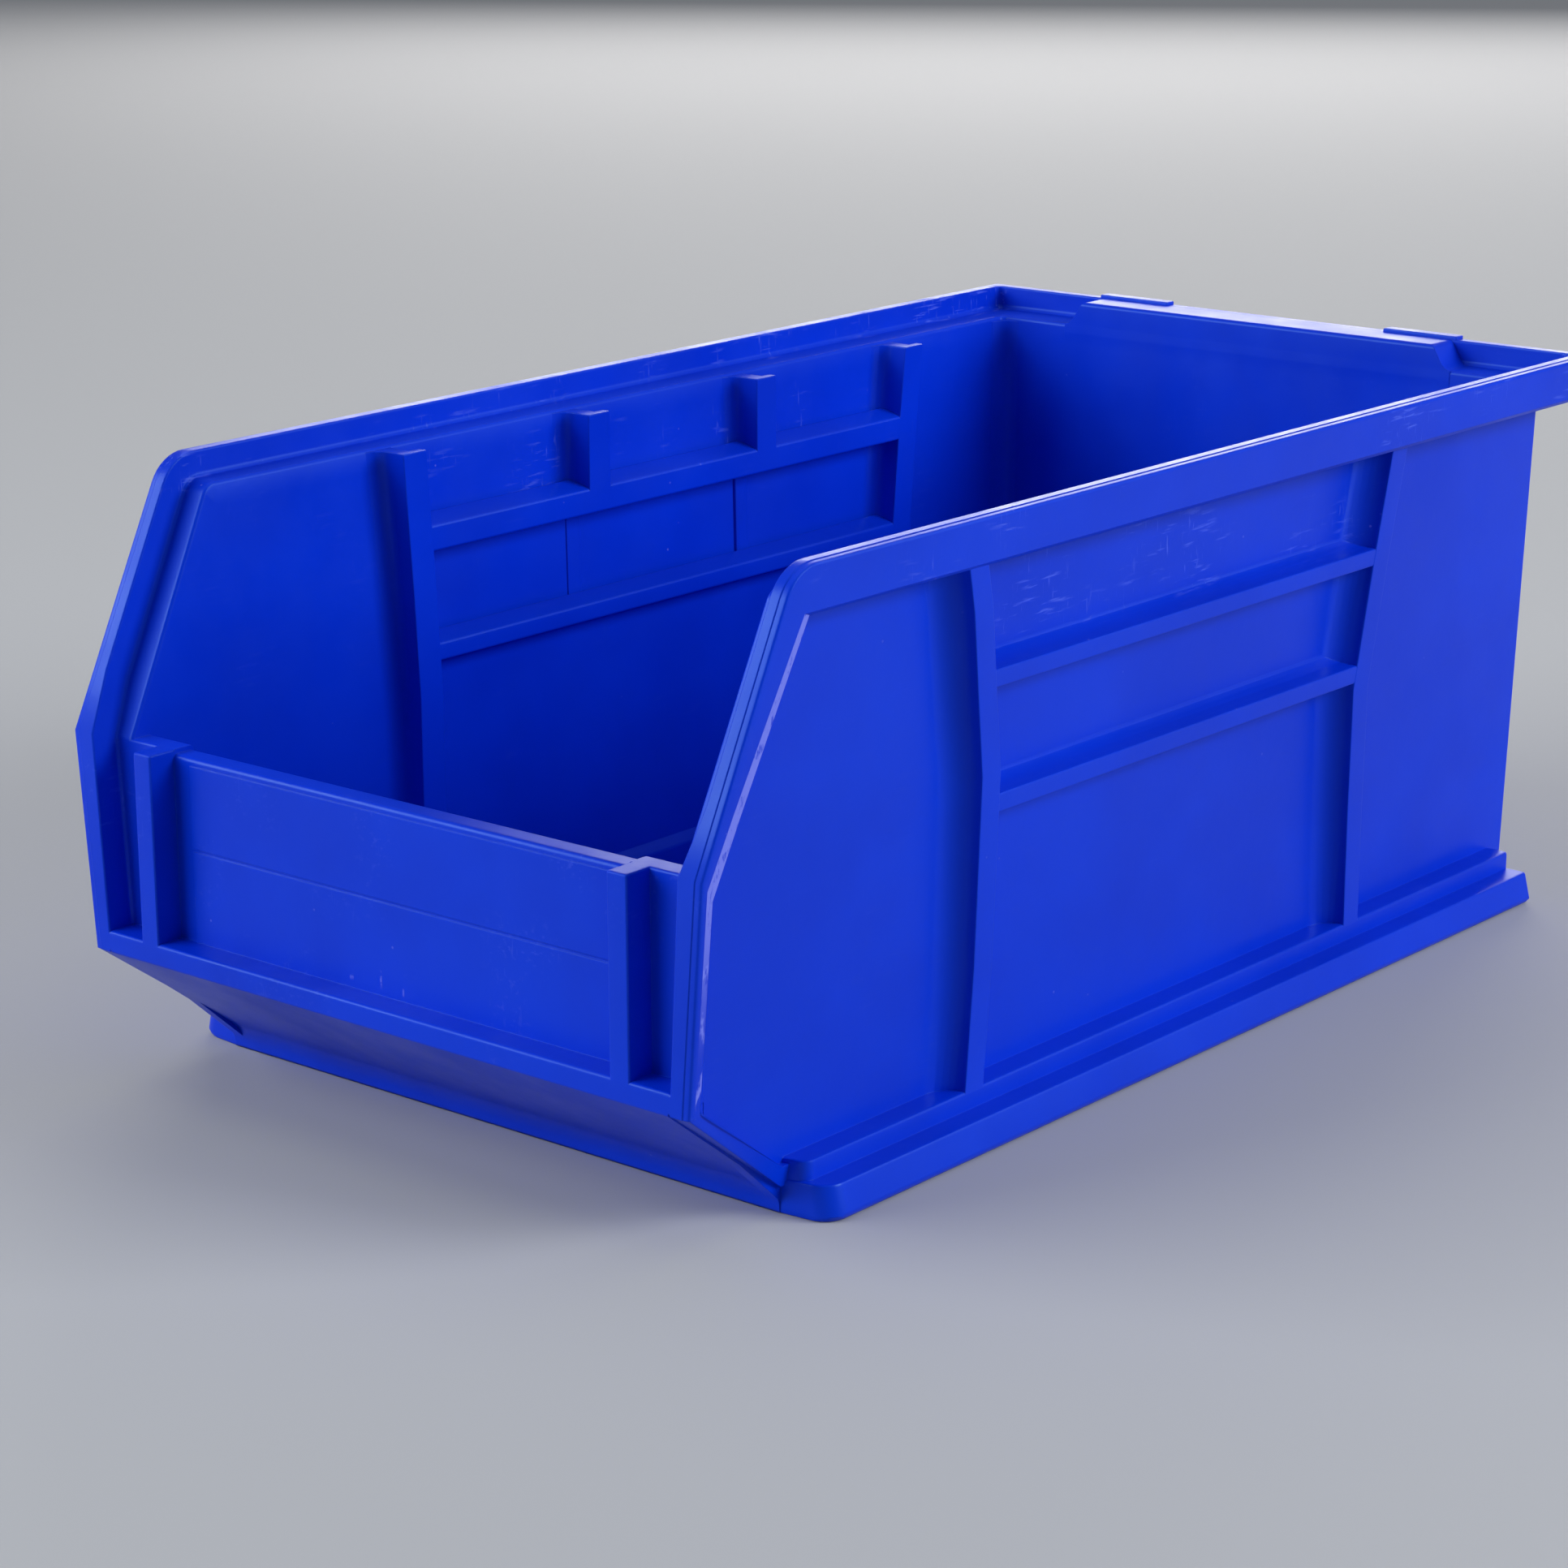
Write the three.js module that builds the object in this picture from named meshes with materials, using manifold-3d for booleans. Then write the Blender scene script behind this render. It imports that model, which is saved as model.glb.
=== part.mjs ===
// Stack-and-hang storage bin with an open hopper front: one polypropylene moulding,
// divided here at its own creases into named regions that meet face to face.
// Millimetres. X is the width, +Y points to the back, Z is up, the floor is z = 0,
// and the origin is the middle of the footprint. The bin is symmetric about x = 0.
import * as THREE from "three";
import { mergeVertices } from "three/addons/utils/BufferGeometryUtils.js";
import Module from "manifold-3d";

const wasm = await Module();
wasm.setup();

// ---- Overall sizes. "back" distances are measured forward from the rim's back edge.
const LENGTH = 187.2;
const RIM_TOP = 76;
const RIM_HALF_WIDTH_BACK = 51.5;
const RIM_PLAN_TAPER = 0.0082; // the rim narrows this much a side per mm of length
const HOPPER_CORNER_BACK = 171.5; // where the level rim turns down into the slant
const HOPPER_CORNER_RADIUS = 6;
const BEND_BACK = 187.0; // where the slant turns into the upright front edge
const BEND_Z = 45.3;
const FRONT_FOOT_Z = 17.3; // underside of the front ledge
const FRONT_FOOT_HALF_WIDTH = 47.9;
const UNDERCUT_BACK = 168.0; // foot of the sloped underside

// ---- Wall and floor
const FLOOR_THICKNESS = 2.6;
const WALL_INNER_FOOT = 42.86; // half width of the inner wall plane at z = 0
const WALL_THICKNESS = 1.8;
const WALL_DRAFT = 0.02; // each wall leans out by this much per mm of height
const BACK_OUTER_TOP = 6.0;
const BACK_OUTER_FOOT = 8.5;
const PANEL_BACK = 183.4; // face of the front panel, level with the sunk ledge
const PANEL_THICKNESS = 2.0;
const PANEL_TOP = 42.9;
const PANEL_LIP = { depth: 1.2, height: 3 };
const PAD_TOP = 43.5; // the panel's ends and the box ribs stand a little above the panel
const GROOVE = { z: 31.5, half: 0.25, depth: 0.35 };
const LEDGE_TOP = 19.95;

// ---- Rim: a wall around a sunk ledge that carries the bin stacked above
const RIM_THICKNESS = 2.4;
const LEDGE_DEPTH = 3.8;
const BAND_DEPTH = 5.2; // depth of the band that hangs outside the wall
const TOP_FACE = 4.2; // side face of the band above its chamfer, level part
const SLANT_FACE = 1.7;
const FRONT_FACE = 1.9;
const TOP_CHAMFER = 1.0;
const SLANT_CHAMFER = 0.9;
const SLANT_CHAMFER_END = 4.3;
const SLANT_STATION_Z = 51.7; // the rim wall starts to thicken towards the flange here
const SLANT_STATION_INNER = 47.5;
const FLANGE_INNER_TOP = 46.5;
const FLANGE_INNER_FOOT = 45.05;
const HANGER_HALF_WIDTH = { foot: 32.0, top: 29.9 };
const TAB = { near: 18.5, far: 30.5, front: 2.2, back: 0.3, height: 0.45 };

// ---- Base rails
const RAIL_BACK = 12;
const RAIL_FRONT = 167.3;
const RAIL_TOP = 4.4;
const STEP_TOP = 6.8;
const STEP_HALF_WIDTH = 48.0;
const RAIL_OUTLINE = [
  { z: 0, x: 51.3 },
  { z: 0.75, x: 51.9 },
  { z: RAIL_TOP, x: 51.0 },
];
const RAIL_CORNER = 3;
const STEP_CORNER = 1.5;

// ---- Outer lattice: two bent pillars and two level ribs a side
const LATTICE_TOP_Z = RIM_TOP - BAND_DEPTH;
const LATTICE_FACE = { foot: 48.0, top: 50.0 };
const PILLAR_WIDTH = 3.6;
const PILLAR_FILLET = 4;
const FRONT_PILLAR_LINE = [
  [STEP_TOP, 138.0],
  [22, 137.2],
  [45, 136.9],
  [54, 138.1],
  [65, 139.5],
  [LATTICE_TOP_Z, 140.8],
];
const REAR_PILLAR_LINE = [
  [STEP_TOP, 55.2],
  [22, 56.0],
  [39.3, 56.5],
  [56.6, 53.3],
  [LATTICE_TOP_Z, 50.3],
];
const OUTER_RIBS = [
  { name: "upper", bottom: 55.2, top: 57.5, fillet: 1.5 },
  { name: "lower", bottom: 40.0, top: 42.4, fillet: 1.6 },
];

// ---- Inner lattice: hooked slots for cross dividers, at an even pitch
const INNER_FACE = 39.8;
const LEG_THICKNESS = 2.3;
const HOOK_THICKNESS = 1.3;
const HOOK_LENGTH = 4.2;
const INNER_FRONT_LINE = [
  [FLOOR_THICKNESS, 139.0],
  [22, 138.2],
  [40, 138.2],
  [54, 138.9],
  [RIM_TOP - LEDGE_DEPTH, 140.1],
];
const INNER_REAR_LINE = [
  [FLOOR_THICKNESS, 40.2],
  [47, 40.2],
  [61, 38.8],
  [RIM_TOP - LEDGE_DEPTH, 37.5],
];
const SHORT_RIB_BACKS = [105.5, 70.9];
const INNER_RIBS = [
  { name: "upper", bottom: 58.8, top: 62.2 },
  { name: "lower", bottom: 44.3, top: 46.7 },
];

// ---- Box ribs either side of the label panel
const BOX_RIB = { centre: 37.9, width: 3.0 };

const ARC_STEPS = 4;
const BLUE = new THREE.Color(0.035, 0.11, 0.78);

// ---- Planes of the moulding
const yAt = (back) => LENGTH / 2 - back;
const wallInner = (z) => WALL_INNER_FOOT + WALL_DRAFT * z;
const wallOuter = (z) => wallInner(z) + WALL_THICKNESS;
const rimOuter = (back) => RIM_HALF_WIDTH_BACK - RIM_PLAN_TAPER * back;
const backOuter = (z) => line(z, 0, BACK_OUTER_FOOT, RIM_TOP - LEDGE_DEPTH, BACK_OUTER_TOP);
const backInner = (z) => backOuter(z) + WALL_THICKNESS;
const latticeFace = (z) =>
  line(z, STEP_TOP, LATTICE_FACE.foot, LATTICE_TOP_Z, LATTICE_FACE.top);
const flangeOuter = (z) =>
  line(z, FRONT_FOOT_Z, FRONT_FOOT_HALF_WIDTH, BEND_Z, rimOuter(BEND_BACK));

function line(t, t0, v0, t1, v1) {
  return v0 + ((t - t0) * (v1 - v0)) / (t1 - t0);
}

// Distance from the back at height z on a line given as [z, back] points.
function along(points, z) {
  let i = 1;
  while (i < points.length - 1 && z > points[i][0]) i++;
  return line(z, ...points[i - 1], ...points[i]);
}

// ---- Solids
function toSolid(geometry) {
  const bare = geometry.index ? geometry.toNonIndexed() : geometry.clone();
  bare.deleteAttribute("normal");
  bare.deleteAttribute("uv");
  const merged = mergeVertices(bare, 1e-4);
  const index = merged.index.array;
  const kept = [];
  for (let i = 0; i < index.length; i += 3) {
    const [a, b, c] = [index[i], index[i + 1], index[i + 2]];
    if (a !== b && b !== c && c !== a) kept.push(a, b, c);
  }
  const triVerts = signedVolume(merged.attributes.position.array, kept) < 0
    ? kept.map((v, i) => (i % 3 === 1 ? kept[i + 1] : i % 3 === 2 ? kept[i - 1] : v))
    : kept;
  return new wasm.Manifold(
    new wasm.Mesh({
      numProp: 3,
      vertProperties: merged.attributes.position.array,
      triVerts: new Uint32Array(triVerts),
    }),
  );
}

function signedVolume(points, index) {
  const [a, b, c] = [new THREE.Vector3(), new THREE.Vector3(), new THREE.Vector3()];
  let six = 0;
  for (let i = 0; i < index.length; i += 3) {
    a.fromArray(points, 3 * index[i]);
    b.fromArray(points, 3 * index[i + 1]);
    c.fromArray(points, 3 * index[i + 2]);
    six += a.dot(b.cross(c));
  }
  return six;
}

// A section extruded in steps, each ring then set to its own points: rings[k][i] is
// [x, back, z] of outline point i. The flat outline [u, v] only fixes how the ends fill.
function ringSolid(outline, rings) {
  const shape = new THREE.Shape(outline.map(([u, v]) => new THREE.Vector2(u, v)));
  const steps = rings.length - 1;
  const geometry = new THREE.ExtrudeGeometry(shape, {
    depth: steps,
    steps,
    bevelEnabled: false,
  });
  const position = geometry.getAttribute("position");
  for (let i = 0; i < position.count; i++) {
    const u = position.getX(i);
    const v = position.getY(i);
    const near = outline.map(([p, q]) => Math.hypot(p - u, q - v));
    const [x, back, z] = rings[Math.round(position.getZ(i))][near.indexOf(Math.min(...near))];
    position.setXYZ(i, x, yAt(back), z);
  }
  return toSolid(geometry);
}

// A side-view outline [back, z] carried across the width between two planes x(back, z).
function acrossWidth(outline, from, to) {
  return ringSolid(
    outline,
    [from, to].map((plane) => outline.map(([back, z]) => [plane(back, z), back, z])),
  );
}

// A plan outline per level: outlineAt(level) gives [x, back] points at height level.
function upward(levels, outlineAt) {
  return ringSolid(
    outlineAt(levels[0]).map(([x, back]) => [x, yAt(back)]),
    levels.map((z) => outlineAt(z).map(([x, back]) => [x, back, z])),
  );
}

function mirrored(solid) {
  const mesh = solid.getMesh();
  const points = new Float32Array(mesh.numVert * 3);
  for (let i = 0; i < mesh.numVert; i++) {
    points[3 * i] = -mesh.vertProperties[i * mesh.numProp];
    points[3 * i + 1] = mesh.vertProperties[i * mesh.numProp + 1];
    points[3 * i + 2] = mesh.vertProperties[i * mesh.numProp + 2];
  }
  const geometry = new THREE.BufferGeometry();
  geometry.setAttribute("position", new THREE.BufferAttribute(points, 3));
  geometry.setIndex(new THREE.BufferAttribute(mesh.triVerts, 1));
  return toSolid(geometry);
}

// ---- Side profile of the rim, offset inwards
const SLANT = new THREE.Vector2(BEND_BACK - HOPPER_CORNER_BACK, BEND_Z - RIM_TOP).normalize();

// The slant line at depth d: its distance from the back at height z.
function slantBack(z, d) {
  const drop = (RIM_TOP - z) / -SLANT.y;
  return HOPPER_CORNER_BACK + SLANT.x * drop - d / -SLANT.y;
}

// Points [back, z] round the hopper corner, at depth dTop from the top and dSlant
// from the slant, rounded by the given radius.
function hopperCorner(dTop, dSlant, radius) {
  const corner = new THREE.Vector2(slantBack(RIM_TOP - dTop, dSlant), RIM_TOP - dTop);
  const turn = Math.acos(SLANT.x);
  const reach = radius * Math.tan(turn / 2);
  const centre = new THREE.Vector2(corner.x - reach, corner.y - radius);
  return Array.from({ length: ARC_STEPS + 1 }, (_, k) => {
    const angle = (turn * k) / ARC_STEPS;
    return [centre.x + radius * Math.sin(angle), centre.y + radius * Math.cos(angle)];
  });
}

// The bend at depth dSlant from the slant and dFront from the front face.
function bendPoint(dSlant, dFront) {
  const back = LENGTH - dFront;
  const along0 = back - (HOPPER_CORNER_BACK - dSlant / -SLANT.y);
  return [back, RIM_TOP + (along0 * SLANT.y) / SLANT.x];
}

function undercutZ(back) {
  return line(back, UNDERCUT_BACK, FLOOR_THICKNESS, LENGTH, FRONT_FOOT_Z);
}

const LEDGE_CORNER = hopperCorner(LEDGE_DEPTH, LEDGE_DEPTH, HOPPER_CORNER_RADIUS - LEDGE_DEPTH);

// ---- Rim, as one section swept round: rim wall, band, chamfer, ledge
// Section points: 0 and 1 rim top, 2 band face end, 3 chamfer end, 4 underside at the
// wall, 5 and 6 the sunk ledge.
const RIM_OUTLINE = [
  [-2.4, 0],
  [0, 0],
  [0, -3],
  [-1, -5.2],
  [-5.4, -5.2],
  [-5.4, -3.8],
  [-2.4, -3.8],
];

function rimRing(points, inner, chamfer) {
  const [p0, p1, p2, p3, p4, p5, p6] = points;
  return [
    [inner(p0), ...p0],
    [rimOuter(p1[0]), ...p1],
    [rimOuter(p2[0]), ...p2],
    [rimOuter(p3[0]) - chamfer, ...p3],
    [wallOuter(p4[1]), ...p4],
    [wallOuter(p5[1]), ...p5],
    [inner(p6), ...p6],
  ];
}

const straightInner = ([back]) => rimOuter(back) - RIM_THICKNESS;

function backCornerRing() {
  const under = RIM_TOP - BAND_DEPTH;
  const ledge = RIM_TOP - LEDGE_DEPTH;
  return rimRing(
    [
      [RIM_THICKNESS, RIM_TOP],
      [0, RIM_TOP],
      [0, RIM_TOP - TOP_FACE],
      [TOP_CHAMFER, under],
      [backOuter(under), under],
      [backOuter(ledge), ledge],
      [RIM_THICKNESS, ledge],
    ],
    straightInner,
    TOP_CHAMFER,
  );
}

function hopperCornerRings() {
  const outer = hopperCorner(0, 0, HOPPER_CORNER_RADIUS);
  const face = hopperCorner(TOP_FACE, SLANT_FACE, 0);
  const chamfer = hopperCorner(BAND_DEPTH, SLANT_CHAMFER_END, 0);
  const under = hopperCorner(BAND_DEPTH, BAND_DEPTH, 0);
  return outer.map((p, k) =>
    rimRing(
      [p, p, face[k], chamfer[k], under[k], LEDGE_CORNER[k], LEDGE_CORNER[k]],
      straightInner,
      line(k, 0, TOP_CHAMFER, ARC_STEPS, SLANT_CHAMFER),
    ),
  );
}

// The slant's section, level with height z on the outer line, square to the slant.
function slantStationRing() {
  const at = (d) => {
    const back = slantBack(SLANT_STATION_Z, 0);
    return [back + SLANT.y * d, SLANT_STATION_Z - SLANT.x * d];
  };
  const depths = [0, 0, SLANT_FACE, SLANT_CHAMFER_END, BAND_DEPTH, LEDGE_DEPTH, LEDGE_DEPTH];
  return rimRing(depths.map(at), () => SLANT_STATION_INNER, SLANT_CHAMFER);
}

function bendRing() {
  return rimRing(
    [
      bendPoint(0, 0),
      bendPoint(0, 0),
      bendPoint(SLANT_FACE, FRONT_FACE),
      bendPoint(SLANT_CHAMFER_END, SLANT_CHAMFER_END),
      bendPoint(BAND_DEPTH, BAND_DEPTH),
      bendPoint(LEDGE_DEPTH, LEDGE_DEPTH),
      bendPoint(LEDGE_DEPTH, LEDGE_DEPTH),
    ],
    () => FLANGE_INNER_TOP,
    SLANT_CHAMFER,
  );
}

function flangeFootRing() {
  const at = (d) => [LENGTH - d, FRONT_FOOT_Z];
  const wall = wallOuter(FRONT_FOOT_Z);
  return [
    [FLANGE_INNER_FOOT, ...at(0)],
    [FRONT_FOOT_HALF_WIDTH, ...at(0)],
    [FRONT_FOOT_HALF_WIDTH, ...at(FRONT_FACE)],
    [FRONT_FOOT_HALF_WIDTH - SLANT_CHAMFER, ...at(SLANT_CHAMFER_END)],
    [wall, ...at(BAND_DEPTH)],
    [wall, ...at(LEDGE_DEPTH)],
    [FLANGE_INNER_FOOT, ...at(LEDGE_DEPTH)],
  ];
}

const CORNER_RINGS = hopperCornerRings();
const CORNER_SPLIT = ARC_STEPS / 2;

function sideRim() {
  return ringSolid(RIM_OUTLINE, [backCornerRing(), ...CORNER_RINGS.slice(0, CORNER_SPLIT + 1)]);
}

function slantRim() {
  return ringSolid(RIM_OUTLINE, [
    ...CORNER_RINGS.slice(CORNER_SPLIT),
    slantStationRing(),
    bendRing(),
  ]);
}

function frontFlange() {
  return ringSolid(RIM_OUTLINE, [bendRing(), flangeFootRing()]);
}

function backRim() {
  const right = backCornerRing();
  const left = right.map(([x, back, z]) => [-x, back, z]);
  return ringSolid(RIM_OUTLINE, [left, right]);
}

// The part of the back edge that rises flush with the rim, between the two ledges.
function hangerLand() {
  const ledge = RIM_TOP - LEDGE_DEPTH;
  const outline = [
    [RIM_THICKNESS, ledge],
    [backInner(ledge), ledge],
    [backInner(ledge), RIM_TOP],
    [RIM_THICKNESS, RIM_TOP],
  ];
  const end = (_, z) => line(z, ledge, HANGER_HALF_WIDTH.foot, RIM_TOP, HANGER_HALF_WIDTH.top);
  return acrossWidth(outline, (back, z) => -end(back, z), end);
}

function hangerTab() {
  const outline = [
    [TAB.back, RIM_TOP],
    [TAB.front, RIM_TOP],
    [TAB.front, RIM_TOP + TAB.height],
    [TAB.back, RIM_TOP + TAB.height],
  ];
  return acrossWidth(outline, () => TAB.near, () => TAB.far);
}

// ---- Walls, floor and hopper front
function sideWall() {
  const ledge = RIM_TOP - LEDGE_DEPTH;
  const outline = [
    [BACK_OUTER_FOOT, 0],
    [UNDERCUT_BACK, 0],
    [UNDERCUT_BACK, FLOOR_THICKNESS],
    [LENGTH, FRONT_FOOT_Z],
    [LENGTH - LEDGE_DEPTH, FRONT_FOOT_Z],
    bendPoint(LEDGE_DEPTH, LEDGE_DEPTH),
    ...LEDGE_CORNER.toReversed(),
    [backOuter(ledge), ledge],
  ];
  return acrossWidth(outline, (_, z) => wallInner(z), (_, z) => wallOuter(z));
}

function betweenWalls(outline) {
  return acrossWidth(outline, (_, z) => -wallInner(z), (_, z) => wallInner(z));
}

function backWall() {
  const ledge = RIM_TOP - LEDGE_DEPTH;
  return betweenWalls([
    [backOuter(0), 0],
    [backInner(0), 0],
    [backInner(ledge), ledge],
    [backOuter(ledge), ledge],
  ]);
}

// The sloped panel's inner line lies one wall thickness in from its outer line.
const SLOPE = new THREE.Vector2(LENGTH - UNDERCUT_BACK, FRONT_FOOT_Z - FLOOR_THICKNESS);
const SLOPE_RUN = (WALL_THICKNESS * SLOPE.length()) / SLOPE.y;
const SLOPE_FOOT_BACK = UNDERCUT_BACK - SLOPE_RUN;
const slopeInnerZ = (back) => undercutZ(back + SLOPE_RUN);

function floorPanel() {
  return betweenWalls([
    [backInner(0), 0],
    [SLOPE_FOOT_BACK, 0],
    [SLOPE_FOOT_BACK, FLOOR_THICKNESS],
    [backInner(FLOOR_THICKNESS), FLOOR_THICKNESS],
  ]);
}

function baseFrontBar() {
  return betweenWalls([
    [SLOPE_FOOT_BACK, 0],
    [UNDERCUT_BACK, 0],
    [UNDERCUT_BACK, FLOOR_THICKNESS],
    [SLOPE_FOOT_BACK, FLOOR_THICKNESS],
  ]);
}

const PANEL_INNER = PANEL_BACK - PANEL_THICKNESS;

function underside() {
  return betweenWalls([
    [SLOPE_FOOT_BACK, FLOOR_THICKNESS],
    [UNDERCUT_BACK, FLOOR_THICKNESS],
    [LENGTH, FRONT_FOOT_Z],
    [PANEL_BACK, FRONT_FOOT_Z],
    [PANEL_BACK, slopeInnerZ(PANEL_BACK)],
    [PANEL_INNER, slopeInnerZ(PANEL_INNER)],
  ]);
}

function frontLedge() {
  const inside = betweenWalls([
    [PANEL_INNER, slopeInnerZ(PANEL_INNER)],
    [PANEL_BACK, slopeInnerZ(PANEL_BACK)],
    [PANEL_BACK, LEDGE_TOP],
    [PANEL_INNER, LEDGE_TOP],
  ]);
  const flangeInner = (_, z) =>
    line(z, FRONT_FOOT_Z, FLANGE_INNER_FOOT, bendPoint(0, 0)[1], FLANGE_INNER_TOP);
  const nose = acrossWidth(
    [
      [PANEL_BACK, FRONT_FOOT_Z],
      [LENGTH, FRONT_FOOT_Z],
      [LENGTH, LEDGE_TOP],
      [PANEL_BACK, LEDGE_TOP],
    ],
    (back, z) => -flangeInner(back, z),
    flangeInner,
  );
  return inside.add(nose);
}

function frontPanel() {
  const lipInner = PANEL_INNER - PANEL_LIP.depth;
  const lipFoot = PANEL_TOP - PANEL_LIP.height;
  return betweenWalls([
    [PANEL_INNER, LEDGE_TOP],
    [PANEL_BACK, LEDGE_TOP],
    [PANEL_BACK, GROOVE.z - GROOVE.half],
    [PANEL_BACK - GROOVE.depth, GROOVE.z],
    [PANEL_BACK, GROOVE.z + GROOVE.half],
    [PANEL_BACK, PANEL_TOP],
    [lipInner, PANEL_TOP],
    [lipInner, lipFoot],
    [PANEL_INNER, lipFoot - PANEL_LIP.depth],
  ]);
}

function boxRib() {
  const outline = [
    [PANEL_BACK, LEDGE_TOP],
    [LENGTH, LEDGE_TOP],
    [LENGTH, PAD_TOP],
    [PANEL_BACK, PAD_TOP],
  ];
  const half = BOX_RIB.width / 2;
  return acrossWidth(outline, () => BOX_RIB.centre - half, () => BOX_RIB.centre + half);
}

// The raised end of the panel's top edge, from the box rib's inner side to the wall.
function panelPad() {
  const back = PANEL_INNER - PANEL_LIP.depth;
  const outline = [
    [back, PANEL_TOP],
    [PANEL_BACK, PANEL_TOP],
    [PANEL_BACK, PAD_TOP],
    [back, PAD_TOP],
  ];
  return acrossWidth(outline, () => BOX_RIB.centre - BOX_RIB.width / 2, (_, z) => wallInner(z));
}

// A proud strip that carries the flange's line down the sloped edge of the side wall.
function undercutStrip() {
  const foot = RAIL_FRONT + 0.3;
  const run = BAND_DEPTH - SLANT_FACE;
  const outline = [
    [LENGTH, FRONT_FOOT_Z],
    [UNDERCUT_BACK, FLOOR_THICKNESS],
    [foot, FLOOR_THICKNESS],
    [foot, undercutZ(foot + run)],
    [LENGTH - run, FRONT_FOOT_Z],
  ];
  const proud = (_, z) =>
    line(z, FLOOR_THICKNESS, wallOuter(FLOOR_THICKNESS) + 0.4, FRONT_FOOT_Z, FRONT_FOOT_HALF_WIDTH);
  return acrossWidth(outline, (_, z) => wallOuter(z), proud);
}

// ---- Base rails
// A straight strip outside the wall whose front outer corner is rounded.
function railOutline(z, outerX, corner) {
  const inner = wallOuter(z);
  const arc = Array.from({ length: ARC_STEPS + 1 }, (_, k) => {
    const angle = (Math.PI / 2) * (k / ARC_STEPS);
    return [
      outerX - corner + corner * Math.cos(angle),
      RAIL_FRONT - corner + corner * Math.sin(angle),
    ];
  });
  return [[inner, RAIL_BACK], [outerX, RAIL_BACK], ...arc, [inner, RAIL_FRONT]];
}

function lowerRail() {
  const width = new Map(RAIL_OUTLINE.map(({ z, x }) => [z, x]));
  return upward([...width.keys()], (z) => railOutline(z, width.get(z), RAIL_CORNER));
}

function railStep() {
  return upward([RAIL_TOP, STEP_TOP], (z) => railOutline(z, STEP_HALF_WIDTH, STEP_CORNER));
}

// ---- Outer lattice
// The pillar's plan: a fillet rises from the wall ahead of it to its front edge.
function outerPillar(frontLine) {
  return upward(frontLine.map(([z]) => z), (z) => {
    const front = along(frontLine, z);
    const face = latticeFace(z);
    const wall = wallOuter(z);
    const fillet = Array.from({ length: ARC_STEPS + 1 }, (_, k) => {
      const angle = (Math.PI / 2) * (k / ARC_STEPS);
      return [
        face - (face - wall) * Math.cos(angle),
        front + PILLAR_FILLET * (1 - Math.sin(angle)),
      ];
    });
    return [...fillet, [face, front - PILLAR_WIDTH], [wall, front - PILLAR_WIDTH]];
  });
}

function outerRib({ bottom, top, fillet }, rearPillar) {
  const section = [
    [wallOuter(bottom), bottom],
    [latticeFace(bottom), bottom],
  ];
  for (let k = 0; k <= ARC_STEPS; k++) {
    const angle = (Math.PI / 2) * (k / ARC_STEPS);
    const z = top + fillet * (1 - Math.cos(angle));
    const depth = (latticeFace(z) - wallOuter(z)) * (1 - Math.sin(angle));
    section.push([wallOuter(z) + depth, z]);
  }
  const end = (lineOf, inset) => section.map(([x, z]) => [x, along(lineOf, z) - inset, z]);
  const bar = ringSolid(section, [
    end(FRONT_PILLAR_LINE, PILLAR_WIDTH),
    end(REAR_PILLAR_LINE, PILLAR_WIDTH / 2),
  ]);
  return bar.subtract(rearPillar);
}

// ---- Inner lattice
// Plan of a hooked rib: a leg out from the wall, and a hook that turns to the back.
function hookOutline(z, front) {
  const wall = wallInner(z);
  return [
    [wall, front],
    [INNER_FACE, front],
    [INNER_FACE, front - HOOK_LENGTH],
    [INNER_FACE + HOOK_THICKNESS, front - HOOK_LENGTH],
    [INNER_FACE + HOOK_THICKNESS, front - LEG_THICKNESS],
    [wall, front - LEG_THICKNESS],
  ];
}

function innerPillar(frontLine) {
  return upward(frontLine.map(([z]) => z), (z) => hookOutline(z, along(frontLine, z)));
}

function shortRib(front) {
  return upward([INNER_RIBS[0].top, RIM_TOP - LEDGE_DEPTH], (z) => hookOutline(z, front));
}

function innerRib({ bottom, top }, pillars) {
  const section = [
    [wallInner(bottom), bottom],
    [INNER_FACE, bottom],
    [INNER_FACE, top],
    [wallInner(top), top],
  ];
  const end = (lineOf, inset) => section.map(([x, z]) => [x, along(lineOf, z) - inset, z]);
  const bar = ringSolid(section, [
    end(INNER_FRONT_LINE, LEG_THICKNESS / 2),
    end(INNER_REAR_LINE, LEG_THICKNESS / 2),
  ]);
  return pillars.reduce((rest, pillar) => rest.subtract(pillar), bar);
}

// ---- Scene
const bin = new THREE.Group();

function addNode(name, solid) {
  const mesh = solid.getMesh();
  const points = new Float32Array(mesh.numVert * 3);
  for (let i = 0; i < mesh.numVert; i++) {
    points.set(mesh.vertProperties.subarray(i * mesh.numProp, i * mesh.numProp + 3), 3 * i);
  }
  const geometry = new THREE.BufferGeometry();
  geometry.setAttribute("position", new THREE.BufferAttribute(points, 3));
  geometry.setIndex(new THREE.BufferAttribute(mesh.triVerts, 1));
  const flat = geometry.toNonIndexed();
  flat.computeVertexNormals();
  const plastic = new THREE.MeshStandardMaterial({ color: BLUE, roughness: 0.38, metalness: 0 });
  const node = new THREE.Mesh(flat, plastic);
  node.name = name;
  bin.add(node);
}

function addPair(name, solid) {
  addNode("right_" + name, solid);
  addNode("left_" + name, mirrored(solid));
}

addNode("floor_panel", floorPanel());
addNode("base_front_bar", baseFrontBar());
addNode("back_wall", backWall());
addNode("underside_panel", underside());
addNode("front_ledge", frontLedge());
addNode("label_panel", frontPanel());
addNode("back_rim", backRim());
addNode("hanger_land", hangerLand());

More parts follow.
